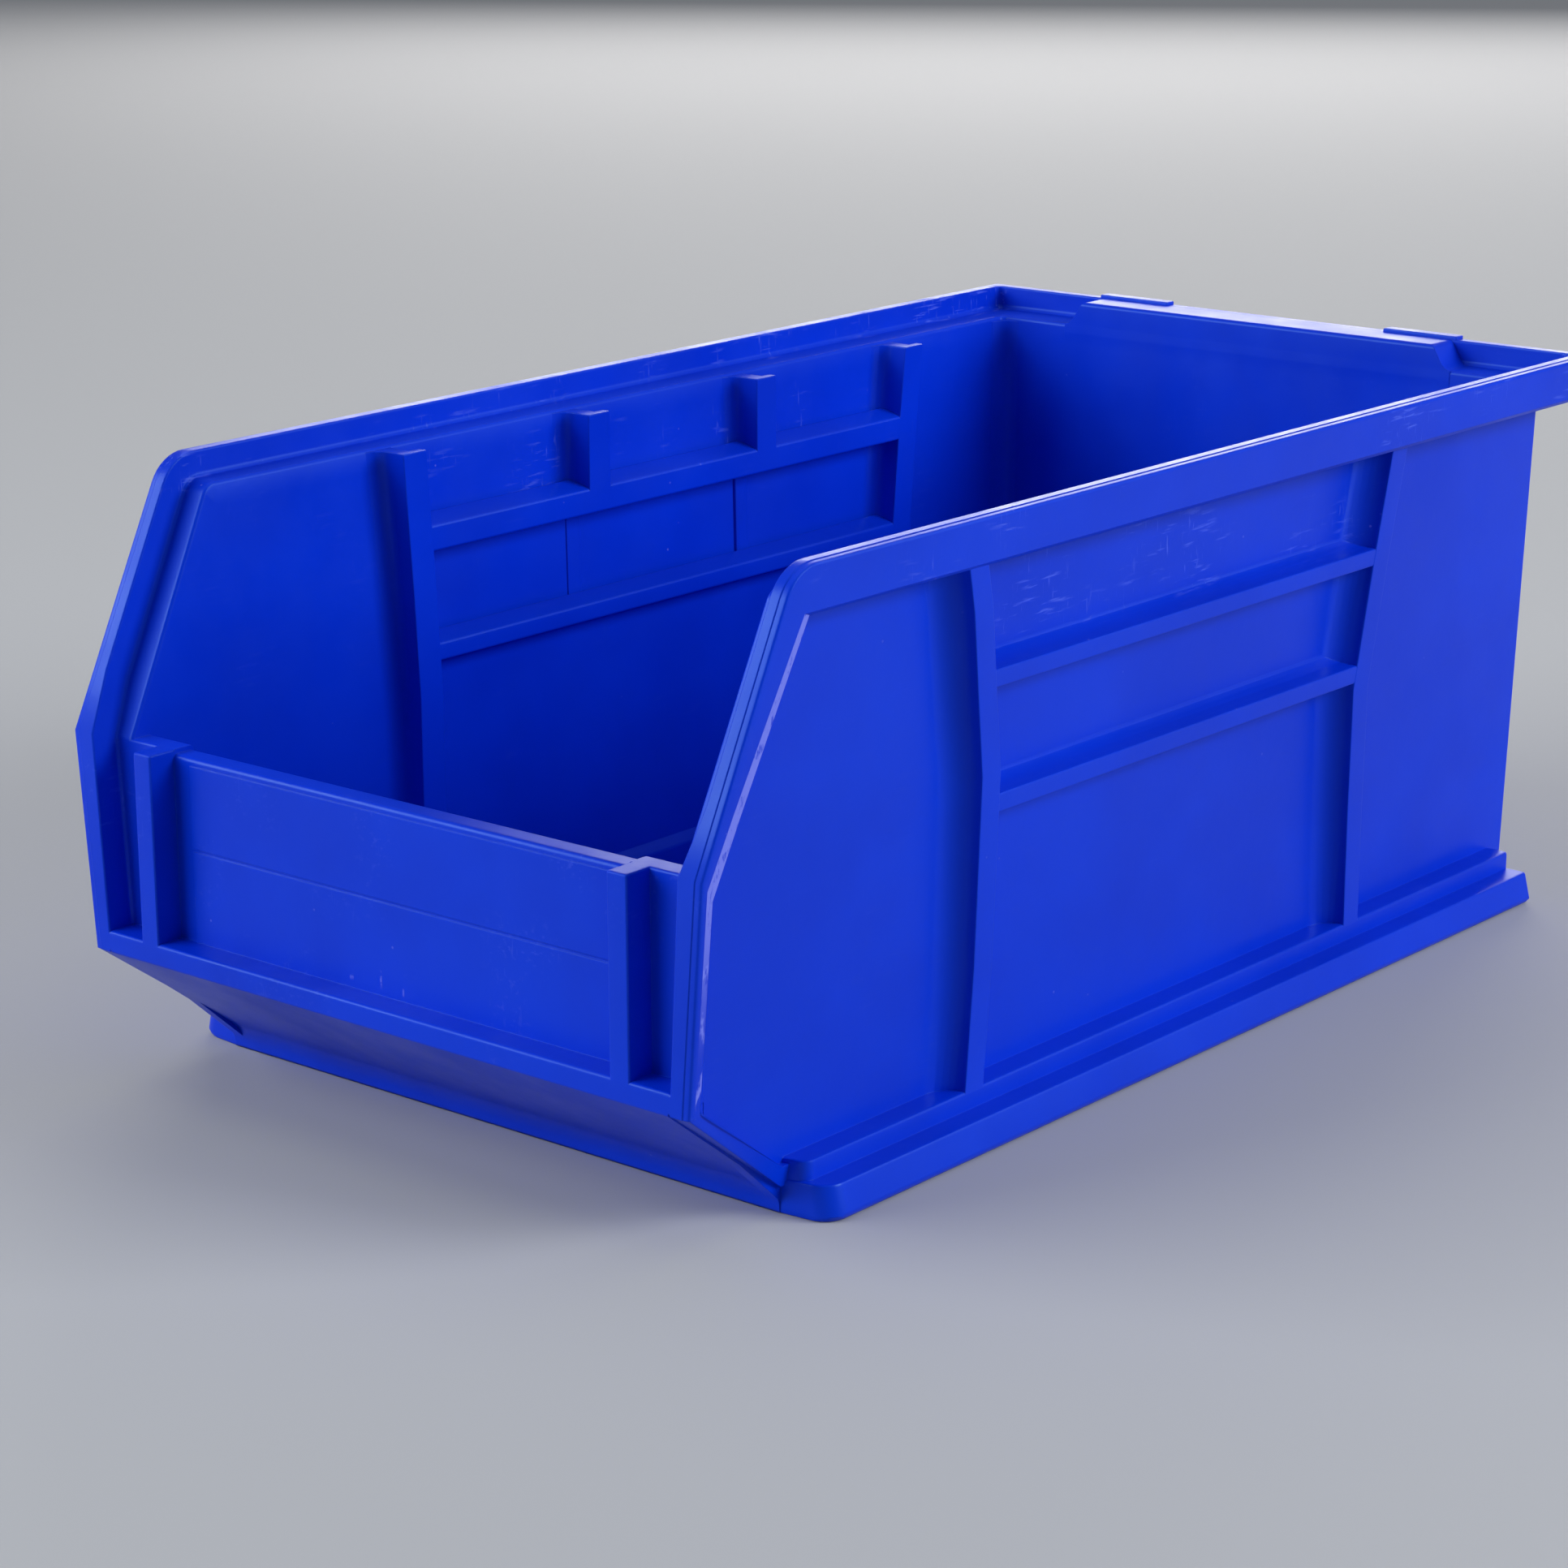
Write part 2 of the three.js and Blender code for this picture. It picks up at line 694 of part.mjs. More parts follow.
addPair("side_wall", sideWall());
addPair("side_rim", sideRim());
addPair("slant_rim", slantRim());
addPair("front_flange", frontFlange());
addPair("undercut_strip", undercutStrip());
addPair("lower_rail", lowerRail());
addPair("rail_step", railStep());
addPair("box_rib", boxRib());
addPair("panel_pad", panelPad());
addPair("hanger_tab", hangerTab());

const frontPillar = outerPillar(FRONT_PILLAR_LINE);
const rearPillar = outerPillar(REAR_PILLAR_LINE);
addPair("outer_front_pillar", frontPillar);
addPair("outer_rear_pillar", rearPillar);
for (const rib of OUTER_RIBS) {
  addPair("outer_" + rib.name + "_rib", outerRib(rib, rearPillar));
}

const innerFrontPillar = innerPillar(INNER_FRONT_LINE);
const innerRearPillar = innerPillar(INNER_REAR_LINE);
addPair("inner_front_pillar", innerFrontPillar);
addPair("inner_rear_pillar", innerRearPillar);
SHORT_RIB_BACKS.forEach((back, k) => {
  addPair("inner_short_rib_" + (k + 1), shortRib(back));
});
for (const rib of INNER_RIBS) {
  addPair("inner_" + rib.name + "_rib", innerRib(rib, [innerFrontPillar, innerRearPillar]));
}

export default bin;
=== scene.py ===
"""Looks for the stack-and-hang storage bin: one seamless moulding built over the CAD frame.

Shapes are worked in millimetres as (x, back, z), where back is the distance forward of the rim's
back edge, and are turned into metres in the row's frame when a mesh is made.
"""
import math

import bmesh
import bpy
from mathutils import Matrix, Vector


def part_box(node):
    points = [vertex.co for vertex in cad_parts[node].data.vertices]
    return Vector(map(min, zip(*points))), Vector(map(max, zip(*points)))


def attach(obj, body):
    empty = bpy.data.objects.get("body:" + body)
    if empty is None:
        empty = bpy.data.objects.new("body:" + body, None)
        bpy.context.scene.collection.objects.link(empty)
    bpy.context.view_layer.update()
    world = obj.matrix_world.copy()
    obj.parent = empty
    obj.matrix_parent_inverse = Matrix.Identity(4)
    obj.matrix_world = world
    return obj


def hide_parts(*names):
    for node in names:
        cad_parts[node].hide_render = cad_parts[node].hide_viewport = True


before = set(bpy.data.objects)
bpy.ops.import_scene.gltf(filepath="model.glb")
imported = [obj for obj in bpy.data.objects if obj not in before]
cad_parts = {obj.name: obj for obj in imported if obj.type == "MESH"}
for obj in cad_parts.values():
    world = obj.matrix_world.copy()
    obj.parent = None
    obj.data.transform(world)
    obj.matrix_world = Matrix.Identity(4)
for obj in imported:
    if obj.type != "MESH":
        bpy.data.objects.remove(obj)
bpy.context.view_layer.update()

MM = 0.001


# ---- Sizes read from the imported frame
def node_box(name):
    low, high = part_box(name)
    return Vector(low) / MM, Vector(high) / MM


def node_points(name):
    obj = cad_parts[name]
    return [(obj.matrix_world @ v.co) / MM for v in obj.data.vertices]


HALF_LENGTH = node_box("back_rim")[1].y
LENGTH = HALF_LENGTH - node_box("front_ledge")[0].y


def back_of(y):
    return HALF_LENGTH - y


def line(t, t0, v0, t1, v1):
    return v0 + (t - t0) * (v1 - v0) / (t1 - t0)


def along(points, z):
    """Value at height z on a line given as (z, value) points."""
    i = 1
    while i < len(points) - 1 and z > points[i][0]:
        i += 1
    return line(z, *points[i - 1], *points[i])


def levels_of(name):
    """The CAD node's points grouped by height, as {z: [(x, back)]}."""
    found = {}
    for p in node_points(name):
        found.setdefault(round(p.z, 2), []).append((p.x, back_of(p.y)))
    return found


RIM_TOP = node_box("back_rim")[1].z
LEDGE_Z = node_box("right_side_wall")[1].z
UNDER_Z = node_box("back_rim")[0].z
LEDGE_DEPTH = RIM_TOP - LEDGE_Z
BAND_DEPTH = RIM_TOP - UNDER_Z
FLANGE_LOW, FLANGE_HIGH = node_box("right_front_flange")
FOOT_Z = FLANGE_LOW.z
FOOT_HALF_WIDTH = max(x for x, _ in levels_of("right_front_flange")[round(FOOT_Z, 2)])
FLANGE_INNER_FOOT = min(
    x for x, b in levels_of("right_front_flange")[round(FOOT_Z, 2)] if b > LENGTH - 0.1
)
BEND_Z = FLANGE_HIGH.z
BEND_BACK = LENGTH - 0.2
RIM_HALF_BACK = node_box("back_rim")[1].x
RIM_TAPER = (RIM_HALF_BACK - FLANGE_HIGH.x) / BEND_BACK
FLOOR_TOP = node_box("floor_panel")[1].z
UNDERCUT_BACK = back_of(node_box("base_front_bar")[0].y)
WALL_LEVELS = levels_of("right_side_wall")
WALL_INNER_FOOT = min(x for x, _ in WALL_LEVELS[0.0])
WALL_INNER_TOP = min(x for x, _ in WALL_LEVELS[round(LEDGE_Z, 2)])
WALL_THICKNESS = max(x for x, _ in WALL_LEVELS[0.0]) - WALL_INNER_FOOT
BACK_OUTER_FOOT = min(b for _, b in WALL_LEVELS[0.0])
BACK_OUTER_TOP = min(b for _, b in WALL_LEVELS[round(LEDGE_Z, 2)])
PANEL_LOW, PANEL_HIGH = node_box("label_panel")
PANEL_FACE = back_of(PANEL_LOW.y)
PANEL_LIP = back_of(PANEL_HIGH.y)
PANEL_TOP = PANEL_HIGH.z
PANEL_THICKNESS, PANEL_LIP_HEIGHT = 2.0, 3.0
LEDGE_TOP = node_box("front_ledge")[1].z
GROOVE_Z = 31.5

# ---- Details finer than the frame's
RIM_THICKNESS = 2.4
HOPPER_RADIUS = 6.0
HOPPER_BACK = 171.5
# The rim's outer face ends, and the chamfer under it ends, at these depths: along the level
# rim, at the hopper corner, at the bend into the flange, and on the flange.
TOP_FACE, CORNER_FACE, BEND_FACE, FRONT_FACE = 5.4, 3.7, 1.4, 1.0
TOP_CHAMFER, SLANT_CHAMFER = 0.4, 0.5
CORNER_CHAMFER_END, BEND_CHAMFER_END, FRONT_CHAMFER_END = 5.1, 3.3, 2.4
BAND_EXTRA = 0.6  # the band hangs this much lower along the level rim
LIP_STEP = {"width": 0.95, "drop": 0.1}  # a fine step along the rim's top, near its outer edge
TOP_LEDGE = 3.4  # the sunk ledge is a little shallower along the level rim
SLANT_STATION_Z, SLANT_STATION_INNER = 51.7, 47.5
FLANGE_INNER_TOP = 46.5
RIM_ROUND, RIM_INNER_ROUND = 0.4, 0.3
LEDGE_COVE = 0.7
LEDGE_ROUND = 0.55
UNDER_COVE = 0.6
WALL_DEPTH, WALL_DEPTH_FRONT = 6.5, 5.82  # here the swept rim hands over to the flat wall
EMBED = 0.9  # how far a feature is sunk into the wall behind it
SKIRT = {"proud": 0.9, "shoulder": 7.8, "top": 9.3}
WALL_RUB = 47.0  # the band's handling marks lie outside this half width
BACK_CORNER_ROUND = 0.8
FOOT_BEND_RADIUS = 5.0  # between the sloped underside and the base
LABEL_MARGIN = 2.8  # from the outside of the box rib to the end of the label area
STRESS_WIDTH = 1.3  # the pale chamfer lies within this distance of the rim's outer edge
# Each mark: x, z, half width, half height.
GATE_MARKS = [(-2.2, 21.9, 0.12, 1.0), (1.4, 21.0, 0.1, 0.5), (-7.0, 21.2, 0.3, 0.15)]
ROUND_STEPS = 3
ARC_STEPS = 8


def wall_inner(z):
    return line(z, 0, WALL_INNER_FOOT, LEDGE_Z, WALL_INNER_TOP)


def wall_outer(z):
    return wall_inner(z) + WALL_THICKNESS


def back_outer(z):
    return line(z, 0, BACK_OUTER_FOOT, LEDGE_Z, BACK_OUTER_TOP)


def back_inner(z):
    return back_outer(z) + WALL_THICKNESS


def rim_outer(back):
    return RIM_HALF_BACK - RIM_TAPER * back


# ---- Mesh helpers
def point(x, back, z):
    return Vector((x, HALF_LENGTH - back, z)) * MM


def ring_solid(rings):
    """A closed solid through rings of (x, back, z) with matching point order."""
    bm = bmesh.new()
    made = [[bm.verts.new(point(*p)) for p in ring] for ring in rings]
    count = len(rings[0])
    for a, b in zip(made, made[1:]):
        for i in range(count):
            j = (i + 1) % count
            bm.faces.new((a[i], a[j], b[j], b[i]))
    bm.faces.new(made[0][::-1])
    bm.faces.new(made[-1])
    bmesh.ops.remove_doubles(bm, verts=bm.verts, dist=0.002 * MM)
    bmesh.ops.recalc_face_normals(bm, faces=bm.faces)
    return bm


def across(outline, start, end):
    """A side-view outline [(back, z)] carried between two planes x(back, z)."""
    return ring_solid([[(plane(b, z), b, z) for b, z in outline] for plane in (start, end)])


def upward(levels, outline_at):
    return ring_solid([[(x, b, z) for x, b in outline_at(z)] for z in levels])


def rounded(bm, width, segments=2, angle=35, keep=lambda edge: True):
    """Rounds the sharp edges of a solid that keep() accepts."""
    bm.normal_update()
    limit = math.radians(angle)
    edges = [e for e in bm.edges if e.is_manifold and e.calc_face_angle() > limit and keep(e)]
    bmesh.ops.bevel(
        bm,
        geom=edges,
        offset=width * MM,
        offset_type="OFFSET",
        segments=segments,
        profile=0.5,
        affect="EDGES",
        clamp_overlap=True,
    )
    return bm


def round_corners(outline, radii, steps=4):
    """Rounds the corners of a flat outline: radii[i] is the radius at point i, 0 for none."""
    result = []
    count = len(outline)
    for i, (p, radius) in enumerate(zip(outline, radii)):
        here = Vector(p)
        if not radius:
            result.append(tuple(here))
            continue
        to_last = (Vector(outline[i - 1]) - here).normalized()
        to_next = (Vector(outline[(i + 1) % count]) - here).normalized()
        half = to_last.angle(to_next) / 2
        reach = radius / math.tan(half)
        centre = here + (to_last + to_next).normalized() * (radius / math.sin(half))
        first = here + to_last * reach - centre
        last = here + to_next * reach - centre
        for k in range(steps + 1):
            t = k / steps
            spoke = first.slerp(last, t)
            result.append(tuple(centre + spoke.normalized() * radius))
    return result


def arc(steps):
    """Sine and cosine pairs over a quarter turn."""
    return [
        (math.sin(math.pi / 2 * k / steps), math.cos(math.pi / 2 * k / steps))
        for k in range(steps + 1)
    ]


def cove(start, end, side_a, side_b, radius, sink=0.3):
    """A concave fillet in the corner between two faces, from start to end."""
    a, b = Vector(side_a), Vector(side_b)
    section = [-sink * (a + b), radius * a - sink * b]
    section += [radius * ((1 - s) * a + (1 - c) * b) for s, c in arc(5)]
    section.append(radius * b - sink * a)
    return ring_solid([[tuple(Vector(foot) + p) for p in section] for foot in (start, end)])


# ---- The rim's path round the hopper side
SLANT = Vector((BEND_BACK - HOPPER_BACK, BEND_Z - RIM_TOP)).normalized()


def slant_back(z, depth):
    drop = (RIM_TOP - z) / -SLANT.y
    return HOPPER_BACK + SLANT.x * drop - depth / -SLANT.y


def hopper_point(d_top, d_slant, t):
    """The hopper corner at the given depths, a share t of the way round."""
    radius = max(HOPPER_RADIUS - max(d_top, d_slant), 0.0)
    if abs(d_top - d_slant) > 0.5:
        radius = 0.0
    z = RIM_TOP - d_top
    corner = Vector((slant_back(z, d_slant), z))
    turn = math.acos(SLANT.x)
    reach = radius * math.tan(turn / 2)
    angle = turn * t
    return (
        corner.x - reach + radius * math.sin(angle),
        corner.y - radius + radius * math.cos(angle),
    )


def bend_point(d_slant, d_front):
    back = LENGTH - d_front
    run = back - (HOPPER_BACK - d_slant / -SLANT.y)
    return back, RIM_TOP + run * SLANT.y / SLANT.x


# A rim section point: which plane x is measured from, the offset from it, and its depth
# from the top, from the slant at its upper and lower end, and from the front.
def same(rule, offset, depth, top_less=0.0):
    return rule, offset, (depth - top_less, depth - top_less / 2, depth, depth)


def rim_section():
    handover = (WALL_DEPTH, WALL_DEPTH, WALL_DEPTH, WALL_DEPTH_FRONT)
    section = [("wall_inner", 0, handover)]
    rise = LEDGE_DEPTH - TOP_LEDGE
    for s, c in arc(ROUND_STEPS):
        depth = LEDGE_DEPTH + LEDGE_ROUND * (1 - s)
        section.append(same("wall_inner", LEDGE_ROUND * (1 - c), depth, rise))
    for s, c in arc(ROUND_STEPS):
        depth = LEDGE_DEPTH - LEDGE_COVE * (1 - c)
        section.append(same("inner", -LEDGE_COVE * (1 - s), depth, rise))
    for s, c in arc(ROUND_STEPS):
        section.append(same("inner", RIM_INNER_ROUND * (1 - c), RIM_INNER_ROUND * (1 - s)))
    section.append(same("outer", -LIP_STEP["width"] - 0.05, 0.0))
    section.append(same("outer", -LIP_STEP["width"] + 0.05, LIP_STEP["drop"]))
    for s, c in arc(ROUND_STEPS):
        section.append(
            same("outer", -RIM_ROUND * (1 - s), LIP_STEP["drop"] + RIM_ROUND * (1 - c))
        )
    section.append(("outer", 0, (TOP_FACE, CORNER_FACE, BEND_FACE, FRONT_FACE)))
    section.append(
        ("chamfer", 0, (
            BAND_DEPTH + BAND_EXTRA, CORNER_CHAMFER_END, BEND_CHAMFER_END, FRONT_CHAMFER_END
        ))
    )
    for s, c in arc(ROUND_STEPS):
        section.append(
            same("wall_outer", UNDER_COVE * (1 - s), BAND_DEPTH + UNDER_COVE * (1 - c), -BAND_EXTRA)
        )
    section.append(("wall_outer", 0, handover))
    return section


SECTION = rim_section()


def place(rule, offset, back, z, inner, chamfer):
    if rule == "wall_inner":
        return wall_inner(z) + offset
    if rule == "wall_outer":
        return wall_outer(z) + offset
    if rule == "inner":
        return inner(back) + offset
    if rule == "chamfer":
        return rim_outer(back) - chamfer + offset
    return rim_outer(back) + offset


def straight_inner(back):
    return rim_outer(back) - RIM_THICKNESS


def corner_ring():
    """The mitred section at the back corner: each point keeps its depth on both sides."""
    ring = []
    for rule, offset, (depth, _, _, _) in SECTION:
        z = RIM_TOP - depth
        if rule == "wall_inner":
            ring.append((wall_inner(z) + offset, back_inner(z) - offset, z))
        elif rule == "wall_outer":
            ring.append((wall_outer(z) + offset, back_outer(z) - offset, z))
        elif rule == "inner":
            ring.append((straight_inner(0) + offset, RIM_THICKNESS - offset, z))
        elif rule == "chamfer":
            ring.append((rim_outer(0) - TOP_CHAMFER, TOP_CHAMFER, z))
        else:
            ring.append((rim_outer(0) + offset, -offset, z))
    return ring


def hopper_ring(t):
    chamfer = line(t, 0, TOP_CHAMFER, 1, SLANT_CHAMFER)
    ring = []
    for rule, offset, (top, slant, _, _) in SECTION:
        back, z = hopper_point(top, slant, t)
        ring.append((place(rule, offset, back, z, straight_inner, chamfer), back, z))
    return ring


def slant_ring(z_outer, inner_x):
    ring = []
    for rule, offset, (_, high, low, _) in SECTION:
        depth = line(z_outer, RIM_TOP, high, BEND_Z, low)
        back = slant_back(z_outer, 0) + SLANT.y * depth
        z = z_outer - SLANT.x * depth
        ring.append((place(rule, offset, back, z, lambda _: inner_x, SLANT_CHAMFER), back, z))
    return ring


def bend_ring():
    ring = []
    for rule, offset, (_, _, slant, front) in SECTION:
        back, z = bend_point(slant, front)
        x = place(rule, offset, back, z, lambda _: FLANGE_INNER_TOP, SLANT_CHAMFER)
        ring.append((x, back, z))
    return ring


def foot_ring():
    ring = []
    for rule, offset, (_, _, _, depth) in SECTION:
        back = LENGTH - depth
        if rule in ("wall_inner", "wall_outer"):
            x = place(rule, offset * 0.3, back, FOOT_Z, None, 0)
        elif rule == "inner":
            x = FLANGE_INNER_FOOT + offset
        else:
            x = FOOT_HALF_WIDTH + offset - (SLANT_CHAMFER if rule == "chamfer" else 0)
        ring.append((x, back, FOOT_Z))
    return ring


def undercut_z(back):
    return line(back, UNDERCUT_BACK, FLOOR_TOP, LENGTH, FOOT_Z)


def on_back_corner(edge):
    """Whether an edge of the shell runs down one of the two mitred back corners."""
    if not edge.is_manifold or edge.calc_face_angle() < math.radians(40):
        return False
    a, b = (v.co / MM for v in edge.verts)
    mid, run = (a + b) / 2, a - b
    near_corner = back_of(mid.y) <= 11 and abs(mid.x) >= WALL_INNER_FOOT - 1
    is_long = abs(run.x) > 20 or abs(run.y) > 20
    along_side = abs(run.x) < 0.02 and abs(run.y) > 5
    return near_corner and not is_long and not along_side


def shell():
    """Rim, flanges, side walls and back wall as one closed skin."""
    right = [corner_ring()]
    right += [hopper_ring(k / ARC_STEPS) for k in range(ARC_STEPS + 1)]
    right += [slant_ring(SLANT_STATION_Z, SLANT_STATION_INNER), bend_ring(), foot_ring()]
    left = [[(-x, b, z) for x, b, z in ring] for ring in right]
    bm = bmesh.new()
    stations = [[bm.verts.new(point(*p)) for p in ring] for ring in left[::-1] + right]
    for a, b in zip(stations, stations[1:]):
        for i in range(len(SECTION) - 1):
            corners = []
            for vert in (a[i], b[i], b[i + 1], a[i + 1]):
                if all((vert.co - other.co).length > 0.002 * MM for other in corners):
                    corners.append(vert)
            if len(corners) > 2:
                bm.faces.new(corners)
    toe_back = LENGTH - WALL_DEPTH_FRONT
    lower = [(toe_back, undercut_z(toe_back) + EMBED), (UNDERCUT_BACK - 0.6, 1.0), (160, 0.0)]

    def low_verts(sign, plane, corner):
        side = [bm.verts.new(point(sign * plane(z), b, z)) for b, z in lower]
        return side + [bm.verts.new(point(sign * plane(0), corner(0), 0))]

    n = len(right)
    inner, outer = {}, {}
    for sign, rings in ((1, stations[n:]), (-1, stations[:n][::-1])):
        inner[sign] = low_verts(sign, wall_inner, back_inner)
        outer[sign] = low_verts(sign, wall_outer, back_outer)
        bm.faces.new([r[0] for r in rings] + inner[sign])
        bm.faces.new([r[-1] for r in rings] + outer[sign])
        foot = rings[-1]
        bm.faces.new(foot)
        strip_in = [foot[0]] + inner[sign]
        strip_out = [foot[-1]] + outer[sign]
        for k in range(len(strip_in) - 1):
            bm.faces.new((strip_in[k], strip_in[k + 1], strip_out[k + 1], strip_out[k]))
    for verts, end in ((inner, 0), (outer, -1)):
        bm.faces.new((stations[n][end], stations[n - 1][end], verts[-1][-1], verts[1][-1]))
    bm.faces.new((inner[1][-1], inner[-1][-1], outer[-1][-1], outer[1][-1]))
    bmesh.ops.remove_doubles(bm, verts=bm.verts, dist=0.002 * MM)
    bmesh.ops.recalc_face_normals(bm, faces=bm.faces)
    bm.normal_update()
    bmesh.ops.bevel(
        bm,
        geom=[e for e in bm.edges if on_back_corner(e)],
        offset=BACK_CORNER_ROUND * MM,
        offset_type="OFFSET",
        segments=3,
        profile=0.5,
        affect="EDGES",
        clamp_overlap=True,
    )
    return bm


# ---- Floor, sloped underside, front ledge and label panel as one bent sheet
def front_sheet():
    panel_inner = PANEL_FACE - PANEL_THICKNESS
    slope = Vector((LENGTH - UNDERCUT_BACK, FOOT_Z - FLOOR_TOP))
    run = WALL_THICKNESS * slope.length / slope.y
    # Each point: back, z and corner radius, round the sheet's side view.
    lip_foot = PANEL_TOP - PANEL_LIP_HEIGHT
    outline = [
        (back_inner(0) - EMBED, 0, 0),
        (UNDERCUT_BACK, 0, 0.5),
        (UNDERCUT_BACK, FLOOR_TOP, FOOT_BEND_RADIUS),
        (LENGTH, FOOT_Z, 0.4),
        (LENGTH, LEDGE_TOP, 0.45),
        (PANEL_FACE, LEDGE_TOP, 0.2),
        (PANEL_FACE, PANEL_TOP, 0.6),
        (PANEL_LIP, PANEL_TOP, 0.5),
        (PANEL_LIP, lip_foot, 0.5),
        (panel_inner, lip_foot - 1.3, 0.8),
        (panel_inner, undercut_z(panel_inner + run), 3.0),
        (UNDERCUT_BACK - run, FLOOR_TOP, 6.0),
        (back_inner(FLOOR_TOP) - EMBED, FLOOR_TOP, 0),
    ]
    flat = round_corners([(b, z) for b, z, _ in outline], [r for _, _, r in outline])
    sink = 0.04

    def side(_, z):
        return wall_outer(z) - sink

    return across(flat, lambda b, z: -side(b, z), side)


def ledge_nose():
    outline = round_corners(
        [
            (LENGTH - LEDGE_DEPTH - 0.5, FOOT_Z + 0.02),
            (LENGTH, FOOT_Z + 0.02),
            (LENGTH, LEDGE_TOP - 0.02),
            (LENGTH - LEDGE_DEPTH - 0.5, LEDGE_TOP - 0.02),
        ],
        [0, 0.4, 0.45, 0],
    )
    half = FLANGE_INNER_FOOT + 0.8
    return across(outline, lambda b, z: -half, lambda b, z: half)


def toe_strip():
    """The proud strip under the flange, down the sloped edge of the side wall."""
    run = 2.5
    foot, foot_z = UNDERCUT_BACK + 0.6, FLOOR_TOP + 1.0
    step_top = node_box("right_rail_step")[1].z
    outline = [
        (LENGTH - 0.3, FOOT_Z + 0.3),
        (LENGTH - 0.3, FOOT_Z - 0.03),
        (foot, foot_z),
        (foot - 1.2, foot_z),
        (foot - 1.2, step_top - 0.6),
        (foot + 0.3, step_top - 0.6),
        (LENGTH - 0.3 - run, FOOT_Z - 0.03),
        (LENGTH - 0.3 - run, FOOT_Z + 0.3),
    ]

    def proud(_, z):
        if z > FOOT_Z:
            return FOOT_HALF_WIDTH - SLANT_CHAMFER - 0.35
        return line(z, FLOOR_TOP, wall_outer(FLOOR_TOP) + 0.4, FOOT_Z, FOOT_HALF_WIDTH - 0.05)

    return across(outline, lambda b, z: wall_inner(z) + 0.4, proud)


def label_plates():
    """The label area stands slightly proud, and the groove is the gap across it."""
    half = node_box("right_box_rib")[0].x - LABEL_MARGIN
    proud, groove_half = 0.16, 0.15

    def is_proud(edge):
        return all(back_of(v.co.y / MM) > PANEL_FACE for v in edge.verts)

    made = []
    levels = (
        (LEDGE_TOP - 0.5, GROOVE_Z - groove_half),
        (GROOVE_Z + groove_half, PANEL_TOP - 0.9),
    )
    for low, high in levels:
        outline = [
            (PANEL_FACE - 0.4, low),
            (PANEL_FACE + proud, low),
            (PANEL_FACE + proud, high),
            (PANEL_FACE - 0.4, high),
        ]
        bm = across(outline, lambda b, z: -half, lambda b, z: half)
        made.append(rounded(bm, 0.09, 2, 50, keep=is_proud))
    return made


def panel_pad():
    """The raised end of the panel's top edge, from the box rib's inner side to the wall."""
    low, high = node_box("right_panel_pad")
    start, end = back_of(high.y), back_of(low.y)
    outline = round_corners(
        [(start, low.z - 1), (end, low.z - 1), (end, high.z), (start, high.z)], [0, 0, 0.35, 0.5]
    )
    return across(outline, lambda b, z: low.x, lambda b, z: wall_outer(z) - 0.4)


def box_rib():
    low, high = node_box("right_box_rib")
    face = back_of(low.y)
    outline = [
        (PANEL_FACE - 1, LEDGE_TOP - 0.8),
        (face, LEDGE_TOP - 0.8),
        (face, high.z),
        (PANEL_FACE - 1, high.z),
    ]

    def is_free(edge):
        return any(back_of(v.co.y / MM) > PANEL_FACE + 1 for v in edge.verts)

    return rounded(across(outline, lambda b, z: low.x, lambda b, z: high.x), 0.35, 3, keep=is_free)


# ---- Base rails
def rail(node, levels, corner, round_width):
    low, high = node_box(node)
    start, end = back_of(high.y), back_of(low.y)
    width = {z: x for z, x in levels}

    def outline_at(z):
        outer = width[z]
        inner = wall_outer(0) - EMBED
        plan = [(inner, start), (outer, start), (outer, end), (inner, UNDERCUT_BACK + 0.02)]
        return round_corners(plan, [0, 0.6, corner, 0], 6)

    return rounded(upward([z for z, _ in levels], outline_at), round_width, 2, 50)


def lower_rail():
    found = levels_of("right_lower_rail")
    levels = sorted((z, max(x for x, _ in pts)) for z, pts in found.items())
    return rail("right_lower_rail", levels, 3.0, 0.35)


def rail_step():
    low, high = node_box("right_rail_step")
    return rail("right_rail_step", [(low.z - 1, high.x), (high.z, high.x)], 1.5, 0.4)


# ---- Outer lattice
PILLAR_FILLET = 4.0


def pillar_lines(node, reverse=False):
    """Front edge, back edge and face plane of a pillar, as (z, value) lists."""
    front, rear, face = [], [], []
    for z, pts in sorted(levels_of(node).items()):
        edge = min(x for x, _ in pts) if reverse else max(x for x, _ in pts)
        on_face = [b for x, b in pts if abs(x - edge) < 0.02]
        front.append((z, max(on_face)))
        rear.append((z, min(on_face)))
        face.append((z, edge))
    return front, rear, face


def outer_pillar(node):
    front, rear, face = pillar_lines(node)
    levels = [z for z, _ in front]
    levels = [levels[0] - 0.8] + levels[1:-1] + [levels[-1] + 0.6]

    def outline_at(z):
        f, r, x = along(front, z), along(rear, z), along(face, z)
        wall = wall_outer(z)
        fillet = [(x - (x - wall) * c, f + PILLAR_FILLET * (1 - s)) for s, c in arc(7)]
        sunk = wall - EMBED
        return [(sunk, f + PILLAR_FILLET + 0.4)] + fillet + [(x, r), (sunk, r)]

    def on_face(edge):
        return all(abs(v.co.x) / MM > wall_outer(v.co.z / MM) + 0.3 for v in edge.verts)

    return rounded(upward(levels, outline_at), 0.35, 2, 50, keep=on_face)


def is_lengthwise(edge):
    """Whether an edge runs along the bin, rather than round a rib's section."""
    return abs(edge.verts[0].co.y - edge.verts[1].co.y) > 20 * MM


